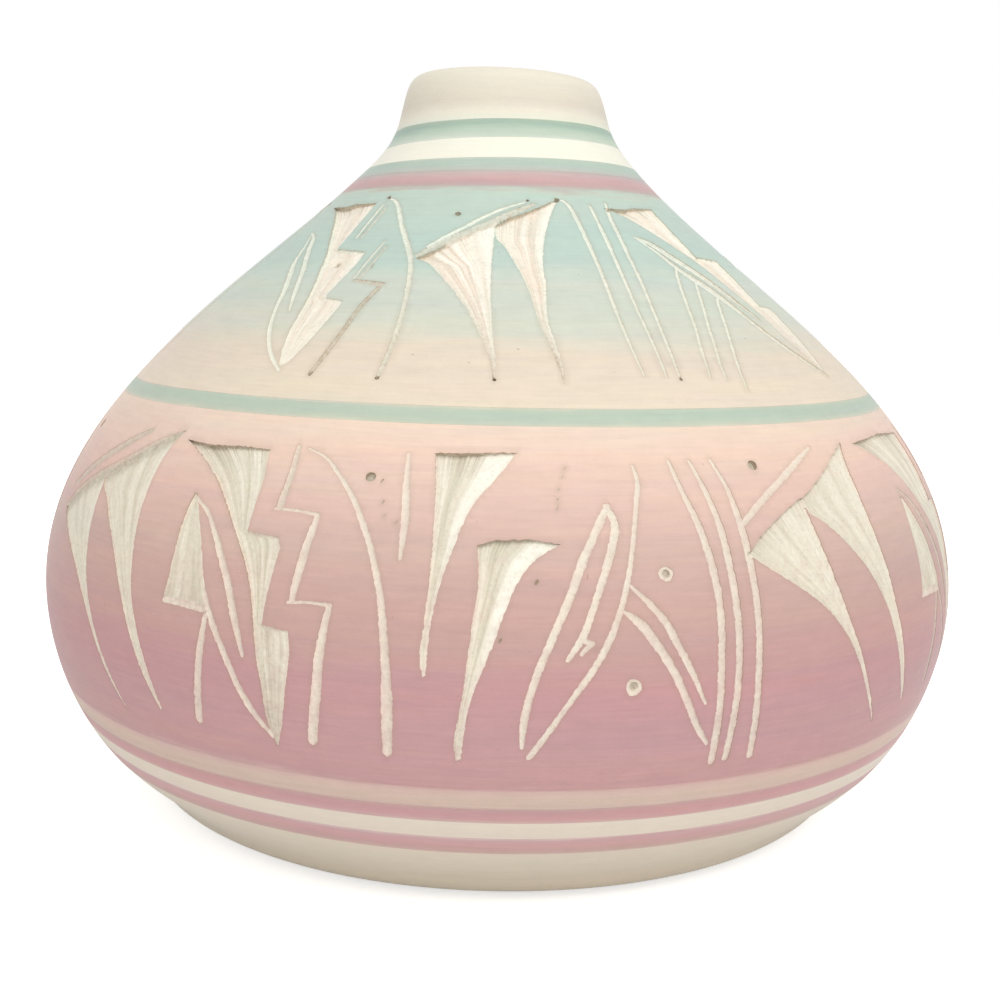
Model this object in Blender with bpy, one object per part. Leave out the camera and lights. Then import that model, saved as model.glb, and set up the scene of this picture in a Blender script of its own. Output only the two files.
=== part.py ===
"""A squat etched pottery vase: one fired clay vessel and nine coats of coloured slip brushed round it.

Metres, +Z up. The origin is the middle of the foot, on the surface that the vase stands on.
Every piece is turned about Z from one wall curve, so that each coat lies on the clay at any size.
"""

import math

import bmesh
import bpy
from mathutils import Vector

# Outside of the vessel, from the foot up
VASE_HEIGHT = 0.1415
FOOT_RADIUS = 0.0709
FOOT_HEIGHT = 0.0058
FOOT_EDGE_WIDTH = 0.0114
BELLY_RADIUS = 0.0900
BELLY_HEIGHT = 0.0433
NECK_RADIUS = 0.0200
THROAT_CURVE_RADIUS = 0.0187
THROAT_SLOPE_DEG = 37.0
THROAT_TOP_DROP = 0.0025
LIP_HEIGHT = 0.0072
MOUTH_EDGE_WIDTH = 0.0013
MOUTH_EDGE_HEIGHT = 0.0020

# How the bowl leaves the foot, and how far each curve of the wall keeps its direction
BOWL_SLOPE_DEG = 59.8
BOWL_REACH = 0.0159
BELLY_REACH_BELOW = 0.0121
BELLY_REACH_ABOVE = 0.0395
SHOULDER_REACH = 0.0290
LIP_REACH = 0.0043
LIP_TOP_REACH = 0.0026

# Clay and its hollow
WALL_THICKNESS = 0.0050
FLOOR_THICKNESS = 0.0070
BASE_HOLLOW_RADIUS = 0.0520
BASE_HOLLOW_DEPTH = 0.0012
BASE_HOLLOW_SLOPE = 0.0030

# Slip coats: thickness, the clearance under and between them, and their heights on the wall
COAT_THICKNESS = 0.0003
COAT_CLEARANCE = 0.0003
BARE_LIP_HEIGHT = 0.0100
NECK_TEAL_HEIGHT = 0.00365
BARE_COLLAR_HEIGHT = 0.00392
SHOULDER_TEAL_HEIGHT = 0.0025
SHOULDER_MAUVE_HEIGHT = 0.0029
GIRDLE_BASE_HEIGHT = 0.07975
GIRDLE_HEIGHT = 0.0026
BARE_FOOT_HEIGHT = 0.0137
LOWER_MAUVE_HEIGHT = 0.00354
BARE_STRIPE_HEIGHT = 0.0032
UPPER_MAUVE_HEIGHT = 0.00266
TAN_HEIGHT = 0.0036

# How finely the turned faces are cut
TURN_STEPS = 56
WALL_STEP = 0.0080
INNER_STEP = 0.0110
ROUND_STEPS = 6
MERGE_DISTANCE = 0.00001
SHARP_ANGLE_DEG = 35.0

CLAY_COLOUR = (0.84, 0.79, 0.68)
TEAL_COLOUR = (0.40, 0.58, 0.50)
MAUVE_COLOUR = (0.55, 0.30, 0.31)
TEAL_FADE_COLOUR = (0.58, 0.66, 0.56)
MAUVE_FADE_COLOUR = (0.62, 0.40, 0.37)
TAN_COLOUR = (0.66, 0.51, 0.40)
CLAY_ROUGHNESS = 0.85
SLIP_ROUGHNESS = 0.70

# The throat's curve would turn upright at its top, but the lip takes over before that
THROAT_TOP = VASE_HEIGHT - THROAT_TOP_DROP
LIP_BASE = VASE_HEIGHT - LIP_HEIGHT
LIP_SLOPE = math.asin((THROAT_TOP - LIP_BASE) / THROAT_CURVE_RADIUS)
MOUTH_RADIUS = NECK_RADIUS - WALL_THICKNESS


def clear_scene():
    """Empties the scene without closing the file that the script runs from."""
    for old in list(bpy.data.objects):
        bpy.data.objects.remove(old)


def bezier(start, leave, arrive, end, share):
    """Point and direction at a share of a cubic curve, as vectors of radius and height."""
    rest = 1 - share
    point = rest**3 * start + 3 * rest**2 * share * leave + 3 * rest * share**2 * arrive + share**3 * end
    slope = rest**2 * (leave - start) + 2 * rest * share * (arrive - leave) + share**2 * (end - arrive)
    return point, slope.normalized()


def throat(share):
    """Point and direction on the hollow curve that turns the shoulder up into the neck."""
    centre = Vector((NECK_RADIUS + THROAT_CURVE_RADIUS, THROAT_TOP))
    angle = math.radians(THROAT_SLOPE_DEG) * (1 - share) + LIP_SLOPE * share
    inward = Vector((math.cos(angle), math.sin(angle)))
    return centre - THROAT_CURVE_RADIUS * inward, Vector((-math.sin(angle), math.cos(angle)))


def wall_piece(piece, share):
    """Point and direction on the bowl (0), the shoulder (1) or the throat (2) of the outer wall."""
    belly = Vector((BELLY_RADIUS, BELLY_HEIGHT))
    if piece == 0:
        foot = Vector((FOOT_RADIUS, FOOT_HEIGHT))
        slope = math.radians(BOWL_SLOPE_DEG)
        leave = foot + BOWL_REACH * Vector((math.sin(slope), math.cos(slope)))
        return bezier(foot, leave, belly - Vector((0, BELLY_REACH_BELOW)), belly, share)
    if piece == 1:
        end, direction = throat(0)
        leave = belly + Vector((0, BELLY_REACH_ABOVE))
        return bezier(belly, leave, end - SHOULDER_REACH * direction, end, share)
    return throat(share)


def wall_point(height, depth=0.0):
    """Radius and height of the point that lies a depth inside the outer wall's point at a height."""
    piece = sum(height > wall_piece(lower, 1)[0].y for lower in (0, 1))
    low, high = 0.0, 1.0
    for _ in range(40):
        share = (low + high) / 2
        if wall_piece(piece, share)[0].y < height:
            low = share
        else:
            high = share
    point, along = wall_piece(piece, (low + high) / 2)
    return point + depth * Vector((-along.y, along.x))


def spread(low, high, step):
    """Heights from low to high, about one step apart, with both ends."""
    count = max(1, round((high - low) / step))
    return [low + (high - low) * number / count for number in range(count + 1)]


def rounded(centre, width, height, from_deg, to_deg):
    """Points of an elliptical edge about a centre, with both ends."""
    turns = [math.radians(from_deg + (to_deg - from_deg) * k / ROUND_STEPS) for k in range(ROUND_STEPS + 1)]
    return [centre + Vector((width * math.cos(turn), height * math.sin(turn))) for turn in turns]


def coat_edges():
    """Each coat's name with its lowest and highest height, from the neck down."""
    edges = {}
    top = VASE_HEIGHT - BARE_LIP_HEIGHT
    edges["neck_teal_band"] = (top - NECK_TEAL_HEIGHT, top)
    top -= NECK_TEAL_HEIGHT + BARE_COLLAR_HEIGHT
    edges["shoulder_teal_band"] = (top - SHOULDER_TEAL_HEIGHT, top)
    top -= SHOULDER_TEAL_HEIGHT
    edges["shoulder_mauve_band"] = (top - SHOULDER_MAUVE_HEIGHT, top)
    upper_panel_top = top - SHOULDER_MAUVE_HEIGHT
    girdle_top = GIRDLE_BASE_HEIGHT + GIRDLE_HEIGHT
    edges["upper_panel_coat"] = (girdle_top, upper_panel_top)
    edges["girdle_teal_band"] = (GIRDLE_BASE_HEIGHT, girdle_top)
    stripe = BARE_FOOT_HEIGHT + LOWER_MAUVE_HEIGHT + BARE_STRIPE_HEIGHT
    tan_base = stripe + UPPER_MAUVE_HEIGHT
    edges["lower_panel_coat"] = (tan_base + TAN_HEIGHT, GIRDLE_BASE_HEIGHT)
    edges["tan_stripe"] = (tan_base, tan_base + TAN_HEIGHT)
    edges["upper_mauve_stripe"] = (stripe, tan_base)
    edges["lower_mauve_stripe"] = (BARE_FOOT_HEIGHT, BARE_FOOT_HEIGHT + LOWER_MAUVE_HEIGHT)
    return edges


def coat_heights(edges):
    """Heights of one coat's rows, drawn in from its edges by half the clearance."""
    low, high = edges
    return spread(low + COAT_CLEARANCE / 2, high - COAT_CLEARANCE / 2, WALL_STEP)


def seats(edges):
    """Lowest and highest height of each seat in the clay: coats that meet share one seat."""
    joined = []
    for low, high in sorted(edges.values()):
        if joined and low - joined[-1][1] < COAT_CLEARANCE:
            joined[-1][1] = high
        else:
            joined.append([low, high])
    return [(low - COAT_CLEARANCE / 2, high + COAT_CLEARANCE / 2) for low, high in joined]


def foot_profile():
    """Underside of the vessel, from its middle to the top of the foot's rounded edge."""
    flat_radius = FOOT_RADIUS - FOOT_EDGE_WIDTH
    edge_centre = Vector((flat_radius, FOOT_HEIGHT))
    return [
        Vector((0, BASE_HOLLOW_DEPTH)),
        Vector((BASE_HOLLOW_RADIUS - BASE_HOLLOW_SLOPE, BASE_HOLLOW_DEPTH)),
        Vector((BASE_HOLLOW_RADIUS, 0)),
        *rounded(edge_centre, FOOT_EDGE_WIDTH, FOOT_HEIGHT, -90, 0)[:-1],
    ]


def outer_profile(edges):
    """Outside of the clay from the foot to the lip's base, sunk under the coats so that they lie flush."""
    points = []
    seat_depth = COAT_THICKNESS + COAT_CLEARANCE
    bare_from = FOOT_HEIGHT
    for low, high in seats(edges):
        points += [wall_point(height) for height in spread(bare_from, low, WALL_STEP)]
        inside = [h for edge in edges.values() for h in coat_heights(edge) if low < h < high]
        points += [wall_point(height, seat_depth) for height in [low, *sorted(inside), high]]
        bare_from = high
    return points + [wall_point(height) for height in spread(bare_from, LIP_BASE, WALL_STEP)]


def lip_profile():
    """The lip: it rolls inwards from its base to its top, then turns down into the mouth."""
    base, direction = throat(1)
    top = Vector((MOUTH_RADIUS + MOUTH_EDGE_WIDTH, VASE_HEIGHT))
    leave, arrive = base + LIP_REACH * direction, top + Vector((LIP_TOP_REACH, 0))
    roll = [bezier(base, leave, arrive, top, (k + 1) / ROUND_STEPS)[0] for k in range(ROUND_STEPS)]
    edge_centre = top - Vector((0, MOUTH_EDGE_HEIGHT))
    return roll + rounded(edge_centre, MOUTH_EDGE_WIDTH, MOUTH_EDGE_HEIGHT, 90, 180)[1:]


def inner_profile():
    """The hollow, from the base of the lip down the inside of the wall to the middle of the floor."""
    heights = spread(FOOT_HEIGHT, LIP_BASE, INNER_STEP)[::-1]
    wall = [wall_point(height, WALL_THICKNESS) for height in heights]
    above_floor = [point for point in wall if point.y > FLOOR_THICKNESS + INNER_STEP / 8]
    last, before = above_floor[-1], above_floor[-2]
    floor_edge = last + (last - before) * (last.y - FLOOR_THICKNESS) / (before.y - last.y)
    return above_floor + [floor_edge, Vector((0, FLOOR_THICKNESS))]


def slip_material(name, colour, roughness):
    """A dry, unglazed finish in one colour."""
    material = bpy.data.materials.new(name)
    material.use_nodes = True
    shader = material.node_tree.nodes["Principled BSDF"]
    shader.inputs["Base Color"].default_value = (*colour, 1.0)
    shader.inputs["Roughness"].default_value = roughness
    shader.inputs["Metallic"].default_value = 0.0
    return material


def turned(name, profile, is_ring, material):
    """Spins a profile of radius and height about Z into one closed, smooth-shaded object."""
    mesh = bmesh.new()
    rim = [mesh.verts.new((point.x, 0, point.y)) for point in profile]
    ends = list(zip(rim, rim[1:])) + ([(rim[-1], rim[0])] if is_ring else [])
    edges = [mesh.edges.new(pair) for pair in ends]
    bmesh.ops.spin(
        mesh,
        geom=rim + edges,
        axis=(0, 0, 1),
        cent=(0, 0, 0),
        angle=math.tau,
        steps=TURN_STEPS,
        use_merge=True,
    )
    bmesh.ops.remove_doubles(mesh, verts=mesh.verts, dist=MERGE_DISTANCE)
    bmesh.ops.recalc_face_normals(mesh, faces=mesh.faces)
    data = bpy.data.meshes.new(name)
    mesh.to_mesh(data)
    mesh.free()
    data.shade_smooth()
    data.set_sharp_from_angle(angle=math.radians(SHARP_ANGLE_DEG))
    data.materials.append(material)
    made = bpy.data.objects.new(name, data)
    bpy.context.scene.collection.objects.link(made)
    return made


def clay_vessel(edges, material):
    """The whole fired pot: foot, bowl, shoulder, neck and lip in one wall round one hollow."""
    profile = foot_profile() + outer_profile(edges) + lip_profile() + inner_profile()
    return turned("clay_vessel", profile, False, material)


def slip_coat(name, edges, material):
    """One coat of slip: a thin ring that follows the wall between its two heights."""
    heights = coat_heights(edges)
    outside = [wall_point(height) for height in heights]
    inside = [wall_point(height, COAT_THICKNESS) for height in reversed(heights)]
    return turned(name, outside + inside, True, material)


def main():
    clear_scene()
    clay = slip_material("bare_clay", CLAY_COLOUR, CLAY_ROUGHNESS)
    teal = slip_material("teal_slip", TEAL_COLOUR, SLIP_ROUGHNESS)
    mauve = slip_material("mauve_slip", MAUVE_COLOUR, SLIP_ROUGHNESS)
    finishes = {
        "upper_panel_coat": slip_material("teal_fade_slip", TEAL_FADE_COLOUR, SLIP_ROUGHNESS),
        "lower_panel_coat": slip_material("mauve_fade_slip", MAUVE_FADE_COLOUR, SLIP_ROUGHNESS),
        "tan_stripe": slip_material("tan_slip", TAN_COLOUR, SLIP_ROUGHNESS),
    }
    edges = coat_edges()
    clay_vessel(edges, clay)
    for name, heights in edges.items():
        plain = teal if "teal" in name else mauve
        slip_coat(name, heights, finishes.get(name, plain))


main()
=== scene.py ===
"""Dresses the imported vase: slightly leaning clay, brushed coats of slip and figures scraped through them.

Metres, +Z up. An angle round the vase is in degrees, 0 towards the viewer (-Y) and positive to the right.
Heights of the figures are in millimetres up the wall, as a maker would mark them on the pot.
"""

import math

import bpy
import numpy as np
from mathutils import Matrix
from mathutils.geometry import delaunay_2d_cdt


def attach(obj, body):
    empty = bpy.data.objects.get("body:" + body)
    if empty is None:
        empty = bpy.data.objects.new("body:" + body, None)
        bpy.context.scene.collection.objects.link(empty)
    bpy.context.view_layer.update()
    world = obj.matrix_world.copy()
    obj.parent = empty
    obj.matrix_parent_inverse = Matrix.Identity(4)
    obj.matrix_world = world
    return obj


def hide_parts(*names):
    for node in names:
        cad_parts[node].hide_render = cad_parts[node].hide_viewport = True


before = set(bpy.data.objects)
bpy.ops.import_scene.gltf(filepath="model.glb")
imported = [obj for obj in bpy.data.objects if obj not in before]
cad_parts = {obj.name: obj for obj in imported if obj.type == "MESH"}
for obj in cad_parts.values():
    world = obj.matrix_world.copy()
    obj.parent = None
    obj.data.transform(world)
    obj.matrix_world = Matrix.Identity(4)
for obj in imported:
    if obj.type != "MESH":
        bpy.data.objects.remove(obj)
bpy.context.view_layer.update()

MM = 0.001

# Wall of the vessel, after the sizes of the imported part
VASE_HEIGHT = 0.1415
FOOT_RADIUS = 0.0709
FOOT_HEIGHT = 0.0058
FOOT_EDGE_WIDTH = 0.0114
BELLY_RADIUS = 0.0900
BELLY_HEIGHT = 0.0433
NECK_RADIUS = 0.0200
THROAT_CURVE_RADIUS = 0.0187
THROAT_SLOPE_DEG = 37.0
THROAT_LEVEL = 0.1390
LIP_HEIGHT = 0.0072
LIP_TOP_RADIUS = 0.0163
LIP_REACH = 0.0043
LIP_TOP_REACH = 0.00258
MOUTH_RADIUS = 0.0150
MOUTH_EDGE_HEIGHT = 0.0020
BOWL_SLOPE_DEG = 59.8
BOWL_REACH = 0.0159
BELLY_REACH_BELOW = 0.0121
BELLY_REACH_ABOVE = 0.0395
SHOULDER_REACH = 0.0290
WALL_THICKNESS = 0.0050
FLOOR_THICKNESS = 0.0070
BASE_HOLLOW_RADIUS = 0.0520
BASE_HOLLOW_DEPTH = 0.0012
BASE_HOLLOW_SLOPE = 0.0030
FLOOR_CORNER = 0.0020
LIP_BASE = VASE_HEIGHT - LIP_HEIGHT

# Steps along the turned sections and round the axis
BARE_STEP = 0.0008
SEAT_STEP = 0.0030
COAT_STEP = 0.0006
FOOT_EDGE_STEPS = 20
FOOT_SOFTENING = 14
LIP_STEPS = 16
MOUTH_EDGE_STEPS = 8
INSIDE_ROWS = 46
INSIDE_ABOVE_FLOOR = 0.0010
TURN_STEPS = 288
MERGE_DISTANCE = 0.000005
SMOOTH_ANGLE_DEG = 38

# Lower and upper edge of each coat on the wall, in millimetres
COAT_EDGES = {
    "neck_teal_band": (127.85, 131.5),
    "shoulder_teal_band": (121.43, 123.93),
    "shoulder_mauve_band": (118.53, 121.43),
    "upper_panel_coat": (82.35, 118.53),
    "girdle_teal_band": (79.75, 82.35),
    "lower_panel_coat": (26.7, 79.75),
    "tan_stripe": (23.1, 26.7),
    "upper_mauve_stripe": (20.44, 23.1),
    "lower_mauve_stripe": (13.7, 17.24),
}

# How the coats sit in the clay, and how near two coats have to be to share a seat
COAT_PROUD = 0.00001
COAT_EDGE = 0.00001
COAT_GAP = 0.000006
COAT_BODY = 0.0013
SEAT_DEPTH = 0.0015
SAME_SEAT_MM = 0.1

# Hand-made lean: how far the axis wanders sideways, and how far each level drops to the right and back
WANDER_HEIGHTS_MM = (0, 10, 22, 43, 80, 100, 121, 135, 142)
WANDER_MM = (0.3, 0.1, 0.1, 0.24, 0.4, -0.46, -0.87, -0.55, -0.6)
TILT_HEIGHTS_MM = (0, 15, 25, 80, 120, 130, 140, 142)
TILT_DEG = (0.0, 0.1, 0.1, 0.0, -0.6, -1.3, 1.3, 1.3)
BACK_TILT_DEG = (0.0, 0.0, 0.0, 0.0, 0.3, 2.0, 1.0, 1.0)

# The figures wind a little round the pot as they rise, most of all towards the sides of the view
WINDING_HEIGHTS_MM = (30, 52, 76, 87, 105, 118)
WINDING_DEG = (0.65, 0.0, -0.75, -1.0, -1.4, -1.1)
WINDING_SPREAD = 0.0004

# Scraping and scoring
SCRAPE_DEPTH_MM = 0.95
SCORE_DEPTH_MM = 0.3
PUNCH_DEPTH_MM = 0.75
FLUTE_WIDTH_MM = 1.6
FLUTE_DEPTH_MM = 0.07
RAGGED_EDGE_MM = 0.05
EDGE_STEP_MM = 0.36
SHADED_EDGE_MM = 0.26
HATCH_MM = 4.5
PALE_LIP_MM = 0.55
# Painted shade along the right side of scored lines
LINE_SHADE = 0.3
LEAST_FLOOR_MM = 0.08
DEEPEST_ACROSS = 0.3
CURVE_SOFTENING = 3
TOP_SLOPE_STEPS = 6
PUNCH_STEP_DEG = 24
FULL_SHAKE_WIDTH_MM = 1.2
FULL_DEPTH_WIDTH_MM = 1.3

# Steps of the etched panels, and about how many millimetres a degree spans
PANEL_STEP_MM = 0.95
SCRAPED_STEP_MM = 0.5
BACK_ROWS = 14
PANEL_CLEARANCE_MM = 0.4 * PANEL_STEP_MM
SCRAPED_CLEARANCE_MM = 0.45 * SCRAPED_STEP_MM
RIM_SLACK = 0.01
ON_RIM_MM = 0.0001
SHEET_MERGE_MM = 0.00001
DEGREE_MM = 1.3

chance = np.random.default_rng(7)


def eased(at, places, values):
    """Values along a smooth curve through a few places, flat beyond the ends."""
    places, values = np.array(places, float), np.array(values, float)
    slopes = np.gradient(values, places)
    at = np.clip(at, places[0], places[-1])
    number = np.clip(np.searchsorted(places, at) - 1, 0, len(places) - 2)
    gap = places[number + 1] - places[number]
    share = (at - places[number]) / gap
    rest = 1 - share
    ends = values[number] * rest**2 * (1 + 2 * share) + values[number + 1] * share**2 * (1 + 2 * rest)
    return ends + gap * share * rest * (slopes[number] * rest - slopes[number + 1] * share)


def softened(points, times):
    """A line of points whose corners are softened some times over, with its ends kept."""
    for _ in range(times):
        points[1:-1] = (points[:-2] + 2 * points[1:-1] + points[2:]) / 4
    return points


def pick(piece):
    """Makes one object the only one selected, and the active one."""
    bpy.ops.object.select_all(action="DESELECT")
    piece.select_set(True)
    bpy.context.view_layer.objects.active = piece


# The wall curve

def bezier(start, leave, arrive, end, shares):
    """Points and directions at shares of a cubic curve of radius and height."""
    start, leave, arrive, end = (np.array(point) for point in (start, leave, arrive, end))
    share = shares[:, None]
    rest = 1 - share
    points = rest**3 * start + 3 * rest**2 * share * leave + 3 * rest * share**2 * arrive + share**3 * end
    slopes = rest**2 * (leave - start) + 2 * rest * share * (arrive - leave) + share**2 * (end - arrive)
    return points, slopes / np.linalg.norm(slopes, axis=1)[:, None]


def outer_wall():
    """Radius, height and direction at close steps from the top of the foot to the base of the lip."""
    shares = np.linspace(0, 1, 400)
    bowl_slope = math.radians(BOWL_SLOPE_DEG)
    leave = (FOOT_RADIUS + BOWL_REACH * math.sin(bowl_slope), FOOT_HEIGHT + BOWL_REACH * math.cos(bowl_slope))
    foot, belly = (FOOT_RADIUS, FOOT_HEIGHT), (BELLY_RADIUS, BELLY_HEIGHT)
    bowl = bezier(foot, leave, (BELLY_RADIUS, BELLY_HEIGHT - BELLY_REACH_BELOW), belly, shares)
    lip_slope = math.asin((THROAT_LEVEL - LIP_BASE) / THROAT_CURVE_RADIUS)
    turn = math.radians(THROAT_SLOPE_DEG) * (1 - shares) + lip_slope * shares
    centre = np.array((NECK_RADIUS + THROAT_CURVE_RADIUS, THROAT_LEVEL))
    throat = centre - THROAT_CURVE_RADIUS * np.stack((np.cos(turn), np.sin(turn)), axis=1)
    throat_way = np.stack((-np.sin(turn), np.cos(turn)), axis=1)
    arrive = throat[0] - SHOULDER_REACH * throat_way[0]
    shoulder = bezier(belly, (BELLY_RADIUS, BELLY_HEIGHT + BELLY_REACH_ABOVE), arrive, throat[0], shares)
    points = np.vstack((bowl[0], shoulder[0][1:], throat[1:]))
    ways = np.vstack((bowl[1], shoulder[1][1:], throat_way[1:]))
    return points, ways


WALL_POINTS, WALL_WAYS = outer_wall()


def wall_at(heights, depths):
    """Radius and height of points that lie some depth inside the outer wall at given heights."""
    radius = np.interp(heights, WALL_POINTS[:, 1], WALL_POINTS[:, 0])
    across = np.interp(heights, WALL_POINTS[:, 1], WALL_WAYS[:, 0])
    up = np.interp(heights, WALL_POINTS[:, 1], WALL_WAYS[:, 1])
    return radius - depths * up, heights + depths * across


def lean(points):
    """The hand-made lean of the whole pot, for points of an upright one."""
    heights = points[:, 2] / MM
    wander = eased(heights, WANDER_HEIGHTS_MM, WANDER_MM) * MM
    drop = np.tan(np.radians(eased(heights, TILT_HEIGHTS_MM, TILT_DEG))) * points[:, 0]
    drop += np.tan(np.radians(eased(heights, TILT_HEIGHTS_MM, BACK_TILT_DEG))) * (points[:, 1] + NECK_RADIUS)
    return np.stack((points[:, 0] + wander, points[:, 1], points[:, 2] - drop), axis=1)


# Turned pieces

def profile_rows(low, high, step, depth):
    """Points of radius and height up the wall between two heights, at one depth."""
    heights = np.linspace(low, high, max(2, round((high - low) / step) + 1))
    return np.stack(wall_at(heights, np.full(len(heights), depth)), axis=1)


def rounded(centre, width, height, from_deg, to_deg, steps):
    """Points of an elliptical edge about a centre."""
    turn = np.radians(np.linspace(from_deg, to_deg, steps + 1))
    return np.stack((centre[0] + width * np.cos(turn), centre[1] + height * np.sin(turn)), axis=1)


def seats():
    """Lowest and highest height of each seat in the clay: coats that meet share one seat."""
    joined = []
    for low, high in sorted(COAT_EDGES.values()):
        if joined and low - joined[-1][1] < SAME_SEAT_MM:
            joined[-1][1] = high
        else:
            joined.append([low, high])
    return [(low * MM, high * MM) for low, high in joined]


def clay_profile():
    """The whole section of the clay: underside, foot, outside with its seats, lip, inside and floor."""
    foot_edge = (FOOT_RADIUS - FOOT_EDGE_WIDTH, FOOT_HEIGHT)
    rows = [
        np.array([(0, BASE_HOLLOW_DEPTH), (BASE_HOLLOW_RADIUS - BASE_HOLLOW_SLOPE, BASE_HOLLOW_DEPTH)]),
        np.array([(BASE_HOLLOW_RADIUS, 0)]),
        rounded(foot_edge, FOOT_EDGE_WIDTH, FOOT_HEIGHT, -90, 0, FOOT_EDGE_STEPS)[:-1],
    ]
    bare_from = FOOT_HEIGHT
    for low, high in seats():
        rows.append(profile_rows(bare_from, low, BARE_STEP, 0))
        if bare_from == FOOT_HEIGHT:
            rows[-2:] = [softened(np.vstack(rows[-2:]), FOOT_SOFTENING)]
        rows.append(profile_rows(low, high, SEAT_STEP, SEAT_DEPTH))
        bare_from = high
    rows.append(profile_rows(bare_from, LIP_BASE, BARE_STEP, 0))
    lip_start, lip_way = WALL_POINTS[-1], WALL_WAYS[-1]
    lip_top = np.array((LIP_TOP_RADIUS, VASE_HEIGHT))
    leave, arrive = lip_start + LIP_REACH * lip_way, lip_top + np.array((LIP_TOP_REACH, 0))
    rows.append(bezier(lip_start, leave, arrive, lip_top, np.linspace(0, 1, LIP_STEPS + 1))[0][1:])
    mouth_edge = (LIP_TOP_RADIUS, VASE_HEIGHT - MOUTH_EDGE_HEIGHT)
    mouth_edge_width = LIP_TOP_RADIUS - MOUTH_RADIUS
    rows.append(rounded(mouth_edge, mouth_edge_width, MOUTH_EDGE_HEIGHT, 90, 180, MOUTH_EDGE_STEPS)[1:])
    inside = np.stack(wall_at(np.linspace(LIP_BASE, FOOT_HEIGHT, INSIDE_ROWS), WALL_THICKNESS), axis=1)
    rows.append(inside[inside[:, 1] > FLOOR_THICKNESS + INSIDE_ABOVE_FLOOR])
    rows.append(np.array([(inside[-1, 0] - FLOOR_CORNER, FLOOR_THICKNESS), (0, FLOOR_THICKNESS)]))
    return np.vstack(rows)


def coat_profile(name):
    """Section of a plain coat, with its outer edges just broken, as a closed ring."""
    low, high = (edge * MM for edge in COAT_EDGES[name])
    low, high = low + COAT_GAP, high - COAT_GAP
    outside = profile_rows(low + COAT_EDGE, high - COAT_EDGE, COAT_STEP, -COAT_PROUD)
    inside = np.stack(wall_at(np.linspace(high, low, len(outside)), COAT_BODY), axis=1)
    top = np.stack(wall_at(np.array([high]), COAT_EDGE), axis=1)
    bottom = np.stack(wall_at(np.array([low]), COAT_EDGE), axis=1)
    return np.vstack((bottom, outside, top, inside, bottom))


def turned(name, profile):
    """Draws a section by extruding one point along it, spins it about Z and merges the seam."""
    bpy.ops.object.select_all(action="DESELECT")
    bpy.ops.mesh.primitive_plane_add(size=0.001)
    piece = bpy.context.active_object
    piece.name = name
    bpy.ops.object.mode_set(mode="EDIT")
    bpy.ops.mesh.select_all(action="SELECT")
    bpy.ops.mesh.merge(type="CENTER")
    bpy.ops.transform.translate(value=(profile[0][0], 0, profile[0][1]))
    for before, after in zip(profile, profile[1:]):
        step = (after[0] - before[0], 0, after[1] - before[1])
        bpy.ops.mesh.extrude_vertices_move(TRANSFORM_OT_translate={"value": step})
    bpy.ops.mesh.select_all(action="SELECT")
    bpy.ops.mesh.spin(steps=TURN_STEPS, angle=math.tau, center=(0, 0, 0), axis=(0, 0, 1))
    bpy.ops.mesh.select_all(action="SELECT")
    bpy.ops.mesh.remove_doubles(threshold=MERGE_DISTANCE)
    bpy.ops.mesh.normals_make_consistent(inside=False)
    bpy.ops.object.mode_set(mode="OBJECT")
    return piece


def settle(piece, node):
    """Keeps each point's upright height, leans the piece, smooths it and puts it in its node's place."""
    mesh = piece.data
    points = np.empty(len(mesh.vertices) * 3)
    mesh.vertices.foreach_get("co", points)
    points = points.reshape(-1, 3)
    if "wall_height" not in mesh.attributes:
        mesh.attributes.new("wall_height", "FLOAT", "POINT").data.foreach_set("value", points[:, 2].copy())
    mesh.vertices.foreach_set("co", lean(points).ravel())
    mesh.update()
    pick(piece)
    bpy.ops.object.shade_smooth_by_angle(angle=math.radians(SMOOTH_ANGLE_DEG))
    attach(piece, "root")
    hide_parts(node)


# Figures: each is an outline in degrees and millimetres, with how its floor is cut

def wound(angles, heights):
    """Marked angles, wound round the pot by as much as their heights call for."""
    return angles + eased(heights, WINDING_HEIGHTS_MM, WINDING_DEG) * (1 + WINDING_SPREAD * angles**2)


def flowing(points, step=EDGE_STEP_MM):
    """Points at close steps along a smooth curve through a few marked points."""
    marks = np.array(points, float)
    marks[:, 0] = wound(marks[:, 0], marks[:, 1])
    spans = np.hypot(np.diff(marks[:, 0]) * DEGREE_MM, np.diff(marks[:, 1]))
    along = np.concatenate(([0], np.cumsum(spans)))
    steps = np.linspace(0, along[-1], max(2, round(along[-1] / step) + 1))
    curve = np.stack([eased(steps, along, marks[:, column]) for column in range(marks.shape[1])], axis=1)
    return softened(curve, CURVE_SOFTENING)


def straight(points, step=EDGE_STEP_MM):
    """Points at close steps along straight lines between marked points."""
    pieces = [flowing(pair, step) for pair in zip(points, points[1:])]
    return np.vstack([*[piece[:-1] for piece in pieces], pieces[-1][-1:]])


def size_of_degree(height_mm):
    """Millimetres round the wall that one degree spans at a height."""
    return np.interp(height_mm * MM, WALL_POINTS[:, 1], WALL_POINTS[:, 0]) / MM * math.pi / 180


def slant_at(height_mm):
    """Millimetres along the wall for each millimetre of height."""
    return 1 / np.interp(height_mm * MM, WALL_POINTS[:, 1], WALL_WAYS[:, 1])


def ragged(figure):
    """A figure's outline as a knife leaves it, a little uneven, and less so where a line is thin."""
    outline = figure["outline"]
    shake = chance.normal(0, RAGGED_EDGE_MM, outline.shape) * figure.get("shake", 1.0)
    return outline + shake / np.stack((size_of_degree(outline[:, 1]), slant_at(outline[:, 1])), axis=1)


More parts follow.
